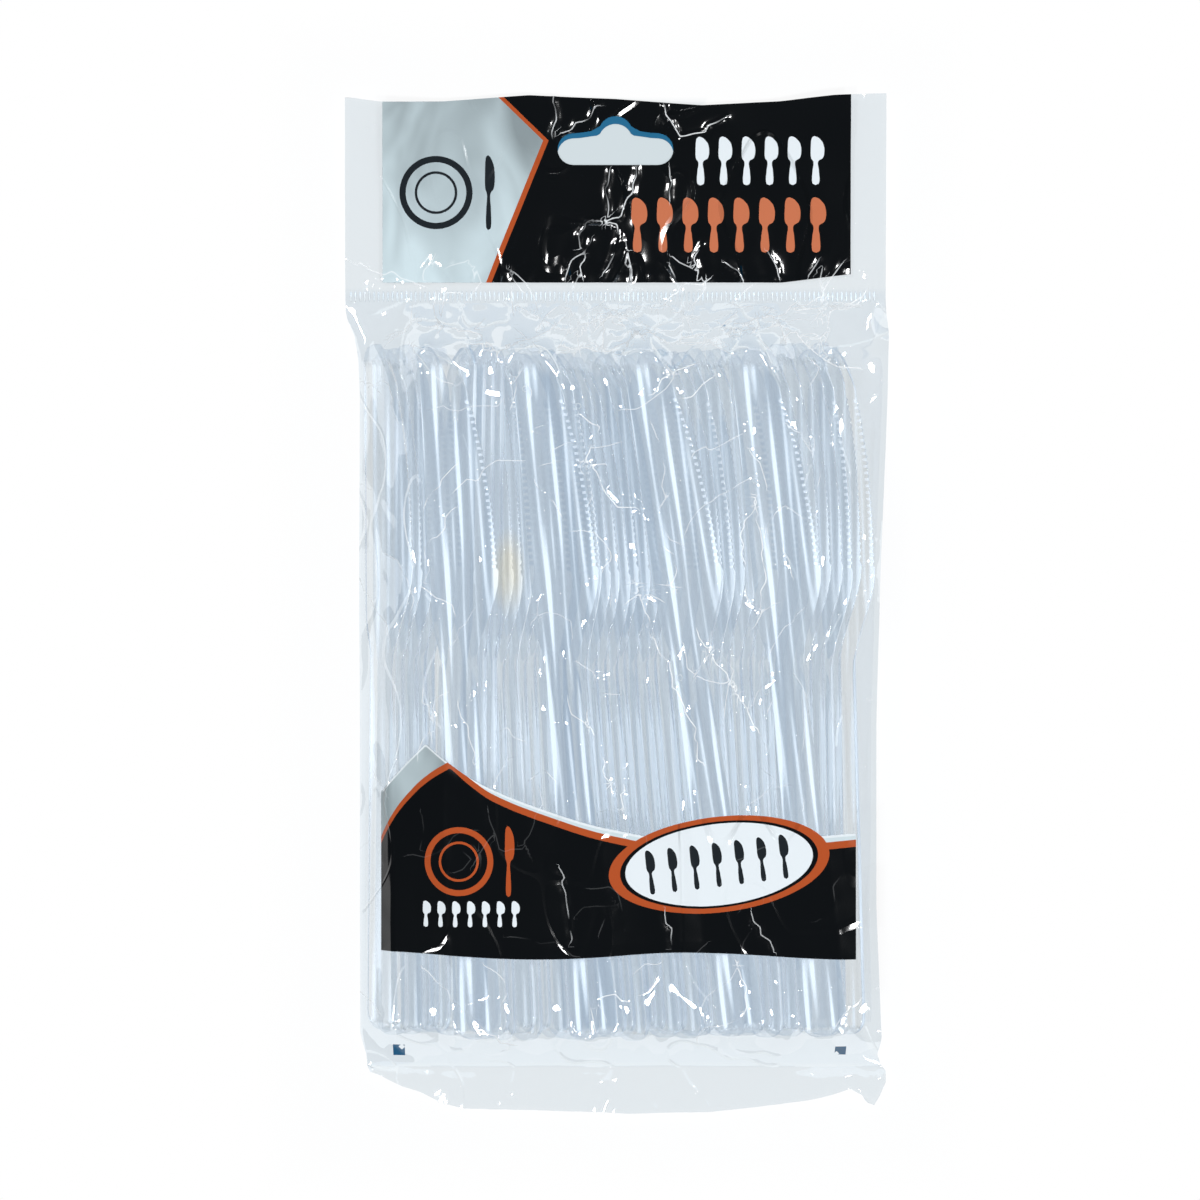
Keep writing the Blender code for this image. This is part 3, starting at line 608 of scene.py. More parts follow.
def film_wrinkles(f, x, y, level, front, back, obstacle, pouch):
    """Adds waves, pleats at the seals and sharp creases, without touching the knives."""
    rows = level[:, None] + 0 * x
    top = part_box("film_bag")[1].y
    header = between(rows, f.header_foot, f.header_foot + 8 * MM)
    near_slot = np.exp(-(((x / (27 * MM)) ** 2 + ((y - f.slot_y - 2 * MM) / (15 * MM)) ** 2) ** 3))
    wave = 0.9 * MM * (1 + bands(x, y, 3, 34 * MM, 2.5, 1.2)) * header * (1 - near_slot)
    out = between(np.abs(x), 30 * MM, 70 * MM) * between(y, f.header_foot + 18 * MM, top)
    wave += 1.9 * MM * out
    skirt = 1 - between(rows, f.bottom_seal - 6 * MM, f.bottom_seal)
    wave += 1.4 * MM * (1 + bands(x, y, 8, 26 * MM, 2.0, 0.2)) * skirt
    loose = np.where(pouch, 1.0, 0.0)
    top_pleats = np.exp(-np.maximum(f.top_seal - rows, 0) / (9 * MM)) * between(f.top_seal - rows, 0, 3 * MM)
    end_pleats = np.exp(-np.maximum(rows - f.bottom_seal, 0) / (8 * MM)) * between(rows - f.bottom_seal, 0, 3 * MM)
    pleat = bands(x, y, 21, 8 * MM, 6.0, 0.0)
    calm = 1 - 0.8 * between(rows, -100 * MM, -92 * MM) * (1 - between(rows, -62 * MM, -45 * MM))
    soft = calm * (0.5 * MM * bands(x, y, 5, 17 * MM, 3.0, 0.3) + 0.22 * MM * bands(x, y, 6, 6 * MM, 4.0, 0.5))
    pouch_wave = loose * (1.3 * MM * pleat * top_pleats + 0.9 * MM * pleat * end_pleats + soft)
    chance = random.Random(CREASE_SEED)
    lines = [(height, jagged(chance, points), 1.0) for height, points in FOLDS]
    for _ in range(POUCH_CREASES):
        points = wandering(chance, chance.uniform(-64, 62), chance.uniform(-118, 78), chance.gauss(1.45, 0.45))
        lines.append((chance.uniform(0.25, 0.6), points, calm))
    for _ in range(SEAL_CREASES):
        points = wandering(chance, chance.uniform(-68, 60), chance.uniform(67, 80.5), chance.gauss(0.0, 0.35))
        lines.append((chance.uniform(0.4, 1.0), points, 1.0))
    creases = np.zeros(x.shape)
    side, near = np.full(x.shape, 9 * MM), np.zeros(x.shape)
    for height, points, share_left in lines:
        away = crease(x, y, points)
        creases = np.maximum(creases, height * MM * np.exp(-np.abs(away) / (0.5 * MM)) * share_left)
        nearer = np.abs(away) < np.abs(side)
        side = np.where(nearer, away, side)
        near = np.where(nearer, height * np.where(share_left < 0.5, 0.1, 1.0), near)
    near = near * (np.abs(side) < 1.3 * MM)
    in_header = creases * (rows > f.top_seal)
    edge = between(x - x[:, :1], 0, 8 * MM) * between(x[:, -1:] - x, 0, 8 * MM)
    fade = between(rows, f.bottom_seal, f.bottom_seal + 4 * MM) * (1 - between(rows, f.top_seal - 3 * MM, f.top_seal))
    front = front + (pouch_wave + creases * loose) * edge * fade
    front = np.maximum(front, obstacle - 0.15 * MM)
    front = np.maximum(front, back + f.lay_flat * 0.5)
    front[:, 0] = np.maximum(front[:, 0], back[:, 0] + 0.0001)
    foot_pleats = np.exp(-np.abs(rows - f.header_foot - 4 * MM) / (6 * MM)) * between(rows, f.top_seal, f.header_foot)
    flap = (1 - between(rows, f.bottom_seal - 8 * MM, f.bottom_seal)) * (1 + bands(x, y, 41, 4.5 * MM, 6.0, 0.0))
    loose_front = 0.5 * MM * (1 + bands(x, y, 33, 5.5 * MM, 5.0, 0.0)) * foot_pleats + 0.3 * MM * flap
    loose_front *= between(x - x[:, :1], 0, 2 * MM) * between(x[:, -1:] - x, 0, 2 * MM)
    return front + wave + in_header + loose_front, back + wave, side / MM, near


def film_mesh(f):
    """A closed envelope: the front's faces point up and have the header's, band's or clear film's look."""
    x, y, level = film_plan(f)
    front, back, obstacle, pouch = film_heights(f, x, y, level)
    front, back, side, near = film_wrinkles(f, x, y, level, front, back, obstacle, pouch)
    upper = np.stack([x, y, front], axis=-1)
    lower = np.stack([x, y, back], axis=-1)[::COARSE, ::COARSE]
    points = np.vstack([upper.reshape(-1, 3), lower.reshape(-1, 3)])
    top, top_rim = grid_faces(*x.shape, 0)
    base, base_rim = grid_faces(*lower.shape[:2], x.size)
    walls = []
    for n, corner in enumerate(base_rim):
        start = n * COARSE
        run = [top_rim[(start + m) % len(top_rim)] for m in range(COARSE + 1)]
        walls.append([*reversed(run), corner, base_rim[(n + 1) % len(base_rim)]])
    faces = [*top.tolist(), *base[:, ::-1].tolist(), *walls]
    mesh = mesh_of("film_bag_clear", points, faces)
    # Where the sharp folds lie, for the painted glints along them
    for name, values in (("fold_side", side), ("fold_near", near)):
        held = np.zeros(len(points), dtype=np.float32)
        held[: values.size] = values.ravel()
        mesh.attributes.new(name, "FLOAT", "POINT").data.foreach_set("value", held)
    across = (x[:-1, :-1] + x[1:, 1:]).ravel() / 2 / MM
    along = (y[:-1, :-1] + y[1:, 1:]).ravel() / 2 / MM
    by_mark = (np.abs(np.abs(across) - MARK_X) < MARK_REACH) & (np.abs(along - MARK_Y) < MARK_REACH)
    clear = ((along > CLEAR_POUCH[0]) & (along < CLEAR_POUCH[1])) | ((along < CLEAR_FOOT) & ~by_mark)
    slots = np.full(len(faces), BACK, dtype=np.int32)
    slots[: len(top)] = np.where(clear, CLEAR, np.where(along > 0, HEADER, BAND))
    mesh.polygons.foreach_set("material_index", slots)
    return mesh


def grid_faces(rows, columns, first):
    """The squares of a grid of points that start at this number, and its rim all the way round."""
    index = np.arange(rows * columns).reshape(rows, columns) + first
    a, b, c, d = index[:-1, :-1], index[:-1, 1:], index[1:, 1:], index[1:, :-1]
    squares = np.stack([a, b, c, d], axis=-1).reshape(-1, 4)
    rim = [*index[0, :], *index[1:, -1], *index[-1, -2::-1], *index[-2:0:-1, 0]]
    return squares, [int(n) for n in rim]


def slot_outline(f, drop):
    """The hang slot: a round-ended bar with a hump over its middle and shoulders that slope up to it."""

    def arc(x, y, radius, start, end, steps):
        angles = [math.radians(start + (end - start) * n / steps) for n in range(steps + 1)]
        return [(x + radius * math.cos(a), y + radius * math.sin(a)) for a in angles]

    end = f.slot_bar / 2
    middle = f.slot_y - drop
    side = f.slot_width / 2 - end
    top = middle + end
    hump = arc(0, top - drop * 0.5, f.hump_radius, 25, 155, 12)
    foot = hump[0][1]
    slope = [(9.6 * MM, top + 0.1 * MM), (6.6 * MM, top + 0.55 * MM), (5.0 * MM, foot - 0.5 * MM)]
    return [
        *arc(side, middle, end, -90, 85, 12),
        *slope,
        *hump,
        *[(-x, y) for x, y in reversed(slope)],
        *arc(-side, middle, end, 95, 270, 12),
    ]


def prism(name, outline, low, high):
    """A closed upright prism."""
    count = len(outline)
    points = [(x, y, low) for x, y in outline] + [(x, y, high) for x, y in outline]
    faces = [tuple(range(count - 1, -1, -1)), tuple(range(count, 2 * count))]
    faces += [(n, (n + 1) % count, count + (n + 1) % count, count + n) for n in range(count)]
    return piece_of(name, mesh_of(name, points, faces))


class CUTLERY_OT_film(bpy.types.Operator):
    """Drapes the printed film over the knives and cuts its hang slot"""

    bl_idname = "cutlery.film"
    bl_label = "Printed film bag"

    def execute(self, context):
        f = context.scene.cutlery_film
        mesh = film_mesh(f)
        for look in (printed_header(f), printed_back(f), printed_band(f), clear_front(f)):
            mesh.materials.append(look)
        bag = piece_of("clear_film_bag", mesh)
        middle = f.lay_flat / 2
        cutters = [
            prism("front_slot", slot_outline(f, 0), middle, 12 * MM),
            prism("back_slot", slot_outline(f, f.back_drop), -6 * MM, middle + 0.01 * MM),
        ]
        for cutter in cutters:
            cut = bag.modifiers.new(cutter.name, "BOOLEAN")
            cut.operation = "DIFFERENCE"
            cut.solver = "MANIFOLD"
            cut.object = cutter
        bpy.context.view_layer.update()
        done = bpy.data.meshes.new_from_object(bag.evaluated_get(bpy.context.evaluated_depsgraph_get()))
        bag.modifiers.clear()
        bag.data = done
        bpy.data.meshes.remove(mesh)
        for cutter in cutters:
            bpy.data.objects.remove(cutter)
        done.name = "clear_film_bag"
        for face in done.polygons:
            if abs(face.center.z - middle) < 0.02 * MM and face.normal.z > 0.9 and abs(face.center.x) < f.slot_width:
                face.material_index = BACK
        done.shade_smooth()
        done.set_sharp_from_angle(angle=math.radians(70))
        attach(bag, BODY)
        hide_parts("film_bag")
        return {"FINISHED"}


# Materials


class Field:
    """A value in a shader tree that can be reckoned with like a number."""

    def __init__(self, tree, socket):
        self.tree = tree
        self.socket = socket

    def math(self, operation, *others, clamp=False):
        node = self.tree.nodes.new("ShaderNodeMath")
        node.operation = operation
        node.use_clamp = clamp
        self.tree.links.new(self.socket, node.inputs[0])
        for place, other in enumerate(others, start=1):
            if isinstance(other, Field):
                self.tree.links.new(other.socket, node.inputs[place])
            else:
                node.inputs[place].default_value = other
        return Field(self.tree, node.outputs[0])

    def __add__(self, other):
        return self.math("ADD", other)

    def __sub__(self, other):
        return self.math("SUBTRACT", other)

    def __mul__(self, other):
        return self.math("MULTIPLY", other)

    def __neg__(self):
        return self.math("MULTIPLY", -1.0)

    def over(self, other):
        return self.math("DIVIDE", other)

    def abs(self):
        return self.math("ABSOLUTE")

    def max(self, other):
        return self.math("MAXIMUM", other)

    def min(self, other):
        return self.math("MINIMUM", other)

    def over_limit(self, limit):
        """1 where the value is above the limit and 0 elsewhere."""
        return self.math("GREATER_THAN", limit)

    def inverse(self):
        return -self + 1.0

    def clamped(self):
        """Held between 0 and 1."""
        return self.math("ADD", 0.0, clamp=True)

    def step(self, soft=0.06):
        """1 where the value is above 0, with a soft edge, in the value's own unit."""
        return (self.over(soft) + 0.5).clamped()

    def curve(self, x_low, x_high, y_low, y_high, points):
        """A line drawn through given points: one value as another goes from low to high."""
        node = self.tree.nodes.new("ShaderNodeFloatCurve")
        line = node.mapping.curves[0]
        while len(line.points) < len(points):
            line.points.new(0.5, 0.5)
        for point, (x, y, *sharp) in zip(line.points, points):
            point.location = ((x - x_low) / (x_high - x_low), (y - y_low) / (y_high - y_low))
            point.handle_type = "VECTOR" if sharp else "AUTO"
        node.mapping.update()
        given = (self - x_low).over(x_high - x_low)
        self.tree.links.new(given.socket, node.inputs["Value"])
        return Field(self.tree, node.outputs[0]) * (y_high - y_low) + y_low


class Look:
    """A material under construction."""

    def __init__(self, name):
        self.material = bpy.data.materials.new(name)
        self.material.use_nodes = True
        self.tree = self.material.node_tree
        self.tree.nodes.clear()
        self.out = self.tree.nodes.new("ShaderNodeOutputMaterial")
        self.coordinates = self.tree.nodes.new("ShaderNodeTexCoord")
        self.path = None

    def place(self):
        """X and Y across the piece, in millimetres."""
        apart = self.tree.nodes.new("ShaderNodeSeparateXYZ")
        self.tree.links.new(self.coordinates.outputs["Object"], apart.inputs[0])
        return Field(self.tree, apart.outputs[0]) * (1 / MM), Field(self.tree, apart.outputs[1]) * (1 / MM)

    def stretched_place(self, scale):
        """Object coordinates, drawn out by a scale on each axis."""
        mapping = self.tree.nodes.new("ShaderNodeMapping")
        mapping.inputs["Scale"].default_value = scale
        self.tree.links.new(self.coordinates.outputs["Object"], mapping.inputs["Vector"])
        return mapping.outputs[0]

    def noise(self, scale, detail=2.0, roughness=0.5, distortion=0.0, stretch=(1, 1, 1)):
        node = self.tree.nodes.new("ShaderNodeTexNoise")
        node.inputs["Scale"].default_value = scale
        node.inputs["Detail"].default_value = detail
        node.inputs["Roughness"].default_value = roughness
        node.inputs["Distortion"].default_value = distortion
        self.tree.links.new(self.stretched_place(stretch), node.inputs["Vector"])
        return Field(self.tree, node.outputs["Fac"])

    def bump(self, height, distance, strength=1.0):
        node = self.tree.nodes.new("ShaderNodeBump")
        node.inputs["Distance"].default_value = distance
        node.inputs["Strength"].default_value = strength
        self.tree.links.new(height.socket, node.inputs["Height"])
        return node.outputs[0]

    def blend(self, part, first, second):
        """Colour that goes from the first to the second as part goes from 0 to 1."""
        node = self.tree.nodes.new("ShaderNodeMix")
        node.data_type = "RGBA"
        for socket, value in ((node.inputs[6], first), (node.inputs[7], second)):
            if isinstance(value, bpy.types.NodeSocket):
                self.tree.links.new(value, socket)
            else:
                socket.default_value = (*value, 1)
        self.tree.links.new(part.socket, node.inputs[0])
        return node.outputs[2]

    def principled(self, colour=(1, 1, 1), normal=None, **values):
        node = self.tree.nodes.new("ShaderNodeBsdfPrincipled")
        if isinstance(colour, bpy.types.NodeSocket):
            self.tree.links.new(colour, node.inputs["Base Color"])
        else:
            node.inputs["Base Color"].default_value = (*colour, 1)
        for name, value in values.items():
            node.inputs[name.replace("_", " ")].default_value = value
        if normal is not None:
            self.tree.links.new(normal, node.inputs["Normal"])
        return node.outputs[0]

    def plain(self, kind, colour):
        """A shader that has only a colour to set."""
        node = self.tree.nodes.new(kind)
        if isinstance(colour, bpy.types.NodeSocket):
            self.tree.links.new(colour, node.inputs[0])
        else:
            node.inputs[0].default_value = (*colour, 1)
        return node.outputs[0]

    def transparent(self, colour):
        return self.plain("ShaderNodeBsdfTransparent", colour)

    def matt(self, colour):
        return self.plain("ShaderNodeBsdfDiffuse", colour)

    def glowing(self, colour):
        return self.plain("ShaderNodeEmission", colour)

    def mixed(self, part, first, second):
        node = self.tree.nodes.new("ShaderNodeMixShader")
        if isinstance(part, Field):
            self.tree.links.new(part.socket, node.inputs[0])
        else:
            node.inputs[0].default_value = part
        self.tree.links.new(first, node.inputs[1])
        self.tree.links.new(second, node.inputs[2])
        return node.outputs[0]

    def grazing(self, normal=None):
        """0 where the surface faces the eye and 1 where it is edge on, from either side."""
        node = self.tree.nodes.new("ShaderNodeLayerWeight")
        node.inputs["Blend"].default_value = 0.5
        if normal is not None:
            self.tree.links.new(normal, node.inputs["Normal"])
        return Field(self.tree, node.outputs["Facing"])

    def attribute(self, name):
        """A value that the mesh holds for each of its points."""
        node = self.tree.nodes.new("ShaderNodeAttribute")
        node.attribute_name = name
        return Field(self.tree, node.outputs["Fac"])

    def ray(self, kind):
        if self.path is None:
            self.path = self.tree.nodes.new("ShaderNodeLightPath")
        return Field(self.tree, self.path.outputs[kind])

    def finish(self, shader):
        self.tree.links.new(shader, self.out.inputs["Surface"])
        return self.material


# Colours: painted highlights on edges and teeth, the painted glow in a knife's ends, film's gloss and its painted fold
# glints, the dark ink of drawings, register marks
PAINTED_EDGE_HIGHLIGHT = (0.90, 0.94, 0.98)
END_PAINTED_GLOW = (0.85, 0.90, 0.95)
GLOSS_AND_PAINTED_GLINT = (0.93, 0.96, 0.98)
DARK_INK = (0.012, 0.016, 0.020)
MARK_INK = (0.02, 0.12, 0.25)
# Surfaces that light meets: in and out of one knife, down to the last one seen, and up to a lamp
THROUGH_ONE, LAST_SEEN, LAST_LIT = 1.5, 5.5, 9.5


def clear_plastic(k):
    """Clear plastic with long streaks, painted white highlights on its edges, teeth and bright streaks, and a painted
    glow where it lies deep in the stack.
    """
    look = Look("clear_moulded_plastic")
    own = look.tree.nodes.new("ShaderNodeUVMap")
    own.uv_map = "own_place"
    streak = look.tree.nodes.new("ShaderNodeTexNoise")
    streak.inputs["Scale"].default_value = 60
    streak.inputs["Detail"].default_value = 0.0
    drawn = look.tree.nodes.new("ShaderNodeMapping")
    drawn.inputs["Scale"].default_value = (1, 0.035, 1)
    look.tree.links.new(own.outputs[0], drawn.inputs["Vector"])
    look.tree.links.new(drawn.outputs[0], streak.inputs["Vector"])
    streaks = Field(look.tree, streak.outputs["Fac"])
    normal = look.bump(streaks, 0.00012, 0.6)
    part = ((streaks - 0.5) * 2.6 + 0.5).clamped()
    tint = look.blend(part, tuple(c * 0.87 for c in k.tint), k.tint)
    shader = look.principled(
        tint, normal, Roughness=k.roughness, IOR=1.5, Transmission_Weight=k.clearness, Metallic=0.0
    )
    rim = look.attribute("rim_line")
    teeth = look.attribute("tooth_gap")
    shade = look.attribute("painted_glow_tone")
    # Painted highlight: white matt mixed in along rims, teeth and the brightest streaks
    white = (rim - 0.6).max(0.0) * 0.9 + (teeth - 0.8).max(0.0) * 1.8 + (part - 0.62).max(0.0) * 0.95
    shader = look.mixed(white, shader, look.matt(PAINTED_EDGE_HIGHLIGHT))
    # Painted glow: past the first knife, the others glow in haze colours in place of the light that would pass and
    # scatter in them, and light ends in it after a few of them
    lines = (rim * 0.7).max(teeth * 0.9)
    at_end = look.attribute("painted_glow_at_ends")
    own = look.blend(at_end, look.blend(shade, k.painted_glow_blue, k.painted_glow_pale), END_PAINTED_GLOW)
    # Painted glow: emission in the haze colours
    haze = look.glowing(look.blend(lines, own, k.painted_glow_line))
    deep = look.ray("Transmission Depth").over_limit(THROUGH_ONE)
    deep = deep.max(look.ray("Ray Depth").over_limit(THROUGH_ONE)).max(at_end)
    bottom = look.ray("Transparent Depth").over_limit(LAST_SEEN)
    share_of_painted_glow = (at_end * -0.10 + 0.22 + at_end * rim * 0.55).max(bottom)
    stack = look.mixed(share_of_painted_glow, look.transparent(k.deep_tint), haze)
    near = look.ray("Transparent Depth").math("LESS_THAN", LAST_LIT)
    dim = look.transparent(look.blend(near, (0, 0, 0), k.deep_tint))
    shader = look.mixed(deep, shader, stack)
    return look.finish(look.mixed(look.ray("Is Shadow Ray"), shader, dim))


def crumple(look):
    """The film's small folds: thin wandering lines over soft unevenness."""
    fine = ((look.noise(62, 0.0, 0.45, 0.0, (1, 0.55, 1)) - 0.5).abs().over(-0.022) + 1.0).max(0.0)
    soft = look.noise(52, 0.0, 0.55, 0.0, (1, 0.5, 1))
    return fine * 0.9 + soft * 0.7


def film_shader(look, f, normal, y, painted_warm_glint=None):
    """Film that lets most light through, with gloss that grows as it turns edge on, painted shade that darkens it over
    the pouch, and a painted warm reflection where asked.
    """
    edge_on = look.grazing(normal)
    gloss = edge_on.math("POWER", 3.0) * 0.75 + 0.11
    shine = look.principled(GLOSS_AND_PAINTED_GLINT, normal, Roughness=0.05, Metallic=1.0)
    # Painted shade over the pouch, between the seals
    pouch = (-y + 84.5).min(y + 124.5).step(2.0)
    tint = look.blend(pouch, f.film_tint, f.pouch_painted_shade)
    if painted_warm_glint is not None:
        tint = look.blend(painted_warm_glint, tint, f.warm_painted_glint)
    return look.mixed(gloss, look.transparent(tint), shine)


def oval(x, y, centre_x, centre_y, half_x, half_y):
    """Distance-like value: above 0 inside an ellipse, in about millimetres."""
    reach = ((x - centre_x).over(half_x)).math("POWER", 2.0) + ((y - centre_y).over(half_y)).math("POWER", 2.0)
    return (reach.math("SQRT") - 1.0) * -min(half_x, half_y)


def ring(x, y, centre_x, centre_y, radius, width):
    """Above 0 on a ring."""
    away = ((x - centre_x).math("POWER", 2.0) + (y - centre_y).math("POWER", 2.0)).math("SQRT")
    return -((away - radius).abs() - width / 2)


def upright_knife(x, y, centre_x, centre_y, width, tall):
    """Above 0 inside a small knife that stands upright: slim handle below, straight back and bellied edge above."""
    up = (y - centre_y + tall / 2).over(tall)
    right = up.curve(0, 1, -0.1, 0.6, (
        (0, -0.1), (0.012, 0.05), (0.05, 0.15), (0.30, 0.14), (0.46, 0.10), (0.50, 0.14), (0.56, 0.32), (0.66, 0.38),
        (0.80, 0.36), (0.92, 0.22), (1.0, -0.1),
    ))
    left = up.curve(0, 1, -0.1, 0.6, (
        (0, -0.1), (0.012, 0.05), (0.05, 0.15), (0.30, 0.14), (0.46, 0.10), (0.50, 0.13), (0.56, 0.21), (0.80, 0.22),
        (0.94, 0.19), (0.985, 0.12), (1.0, -0.05),
    ))
    side = (x - centre_x).over(width) + 0.14
    return (right - side).min(left + side) * width


def knife_row(x, y, low_x, high_x, centre_y, count, width, tall):
    """A row of small upright knives, evenly spaced."""
    pitch = (high_x - low_x) / count
    inside = (x - (low_x + high_x) / 2).abs() - (high_x - low_x) / 2
    local = (x - low_x).math("MODULO", pitch) - pitch / 2
    return upright_knife(local, y, 0.0, centre_y, width, tall).min(-inside)


def place_setting(x, y, centre_x, centre_y, size):
    """A plate drawn as two rings, with a knife at its right."""
    plate = ring(x, y, centre_x - size * 0.22, centre_y, size * 0.45, size * 0.085)
    plate = plate.max(ring(x, y, centre_x - size * 0.22, centre_y, size * 0.27, size * 0.035))
    return plate.max(upright_knife(x, y, centre_x + size * 0.52, centre_y, size * 0.22, size * 1.02))


def silver_ink(look, f, x, y):
    """Silver print with painted light and shade: soft brighter and darker fields, and a brighter lower left on the
    header.
    """
    painted_sheen_and_shade = ((look.noise(38, 2.0, 0.5, 0.8, (1.5, 0.8, 1)) - 0.5) * 2.6 + 0.5).clamped()
    painted_lower_left_light = ((-y + 116.0) * 0.013 + (x * -0.011 - 0.4)) * y.step()
    painted_sheen_and_shade = (painted_sheen_and_shade * 0.7 + 0.1 + painted_lower_left_light).clamped()
    return look.blend(painted_sheen_and_shade, tuple(c * 0.62 for c in f.silver), tuple(min(c * 1.5, 1) for c in f.silver))


def front_film(look, f, y, ink=None, printed=None, field=None, calm=None, painted_warm_glint=None):
    """Front film with its folds and its ink, and painted glints along its sharp folds. Shadows know the ink's whole
    field, and calm film has flatter folds.
    """
    height = crumple(look)
    if calm is not None:
        height = height * (calm * -0.75 + 1.0)
    normal = look.bump(height, 0.0006, 0.8)
    seen = film_shader(look, f, normal, y, painted_warm_glint)
    if ink is not None:
        inked = look.principled(ink, normal, Roughness=0.12, Specular_IOR_Level=0.75)
        seen = look.mixed(printed, seen, inked)
    # Painted glints: white patches along the sharp folds, broken up by noise
    broken = (look.noise(150, 0.0) - 0.40).step(0.2)
    painted_fold_glint = (-look.attribute("fold_side").abs() + 0.12).step(0.2) * look.attribute("fold_near") * broken
    seen = look.mixed(painted_fold_glint.min(0.85), seen, look.principled(GLOSS_AND_PAINTED_GLINT, Roughness=0.2))
    return look.finish(film_or_shadow(look, f, field, seen))


def printed_header(f):
    """Header panel: silver on the left of an orange chevron, black on its right."""
    look = Look("printed_header_film")
    x, y = look.place()
    header_foot = (x - 45.0).over(18.0).max(0.0).min(1.0) * 2.2 + 86.7
    header = (x + 62.8).min(-x + 63.4).min(y - header_foot)
    up = (y - 125.1) * 1.043
    chevron = -(up.max((-y + 125.1) * 0.401)) - 18.8
    on_silver = (chevron - x).step()
    chevron_line = (-(x - chevron).abs() + 0.75).step()
    silver = silver_ink(look, f, x, y)
    ink = look.blend(on_silver, f.black, silver)
    ink = look.blend(chevron_line, ink, f.orange)
    ink = look.blend(place_setting(x, y, -44.0, 110.9, 20.0).step(), ink, DARK_INK)
    ink = look.blend(knife_row(x, y, 20.7, 57.9, 119.5, 6, 6.0, 13.2).step(), ink, f.white)
    ink = look.blend(knife_row(x, y, 3.4, 58.5, 102.2, 8, 7.0, 15.0).step(), ink, f.salmon)
    calm = (chevron - x).step(6.0) * header.step()
    return front_film(look, f, y, ink, header.step(), header.step(), calm)


def printed_band(f):
    """Lower band: the same silver and orange peak, over black, with a badge and two register marks."""
    look = Look("printed_band_film")
    x, y = look.place()
    band_line = x.curve(-64, 66, -70, -35, (
        (-64, -66.5), (-60, -57.6), (-55.2, -51.2), (-49.3, -45.8), (-44, -42.6, True), (-37, -48.6), (-32, -51.8),
        (-18.5, -57.2), (1, -63.0), (20, -66.0), (45, -65.0), (66, -63.4),
    ))
    silver_line = x.curve(-64, 66, -70, -35, (
        (-64, -51.6), (-56, -42.6), (-50.6, -37.2, True), (-44.4, -42.2), (-35.8, -47.8), (-18.5, -54.9), (1, -60.4),
        (20, -63.2), (45, -62.2), (66, -60.8),
    ))
    wobble = (x * 0.075).math("SINE") * 0.9
    band = (x + 62.8).min(-x + 63.9).min(silver_line - y).min(y - wobble + 93.6)
    silver = silver_ink(look, f, x, y)
    on_black = (band_line - y - 0.9).step()
    on_orange = (-(y - band_line).abs() + 0.95).step()
    pale = (x + 40.0).step(4.0)
    strip = look.blend(pale, silver, f.pale)
    band_ink = look.blend(on_black, strip, f.black)
    outline = (-(silver_line - y - 0.35).abs() + 0.3).step() * (x + 62.4).step()
    band_ink = look.blend(outline, band_ink, f.white)
    band_ink = look.blend(on_orange, band_ink, f.orange)
    band_ink = look.blend(place_setting(x, y, -37.6, -68.4, 18.6).step(), band_ink, f.orange)
    band_ink = look.blend(knife_row(x, y, -52.0, -24.4, -82.4, 7, 3.6, 7.0).step(), band_ink, f.white)
    turned_x = x * 0.9925 + y * 0.122
    turned_y = y * 0.9925 - x * 0.122
    badge = oval(turned_x, turned_y, 18.8, -72.0, 29.0, 12.5)
    band_ink = look.blend((badge + 0.2).step(), band_ink, f.orange)
    band_ink = look.blend((badge - 1.1).step(), band_ink, f.black)
    band_ink = look.blend((badge - 1.7).step(), band_ink, f.white)
    dark = knife_row(turned_x, turned_y, -2.0, 39.6, -72.0, 7, 4.0, 12.0)
    band_ink = look.blend(dark.step(), band_ink, DARK_INK)
    mark = (-(x + 58.2).abs() + 1.6).min(-(y + 119.8).abs() + 1.6)
    mark = mark.max((-(x - 60.2).abs() + 1.5).min(-(y + 119.6).abs() + 1.3))
    mark = mark.min(((x + 57.4).abs() + (y + 118.8).abs() - 0.9)).min((x - 59.2).abs() + (y + 120.6).abs() - 0.8)
    band_ink = look.blend(mark.step(), band_ink, MARK_INK)
    printed = band.step().max(mark.step()).max((badge + 0.2).step())
    return front_film(look, f, y, band_ink, printed, band.step(), band.step(6.0))


def clear_front(f):
    """The front film where it has no print, with a painted warm glint over one blade."""
    look = Look("clear_front_film")
    x, y = look.place()
    streaked = (look.noise(160, 0.0, 0.5, 0.0, (1, 0.2, 1)) - 0.3).step(0.4)
    return front_film(look, f, y, painted_warm_glint=oval(x, y, -28.5, 8.5, 3.4, 8.5).step(3.0) * streaked)


def film_or_shadow(look, f, printed, seen):
    """What is seen straight, and a plain version of it for shadows, reflections and the view through the knives."""
    plain = look.transparent(f.film_tint)
    if printed is not None:
        plain = look.mixed(printed, plain, look.matt(f.blue))
    return look.mixed(look.ray("Is Camera Ray").inverse(), seen, plain)


def printed_back(f):
    """Back film: a blue header field, and faint blotches behind the knives."""
    look = Look("printed_back_film")
    x, y = look.place()
    header = (x + 62.8).min(-x + 63.4).min(y - 89.2)
    lines = ((y * 0.21).math("FRACT") - 0.5).step(0.3) * (look.noise(300, 1.0) - 0.45).step(0.1)
    words = (-(x + 3.0).abs() + 12.0).min(-(y - 16.0).abs() + 15.0).step(6.0) * lines * 0.14
    normal = look.bump(look.noise(60, 0.0, 0.5, 0.0, (1, 0.5, 1)), 0.0005, 0.6)
    inked = look.principled(f.blue, normal, Roughness=0.25)
    printed = header.step().max(words)
    seen = look.mixed(printed, film_shader(look, f, normal, y), inked)
    return look.finish(film_or_shadow(look, f, printed, seen))


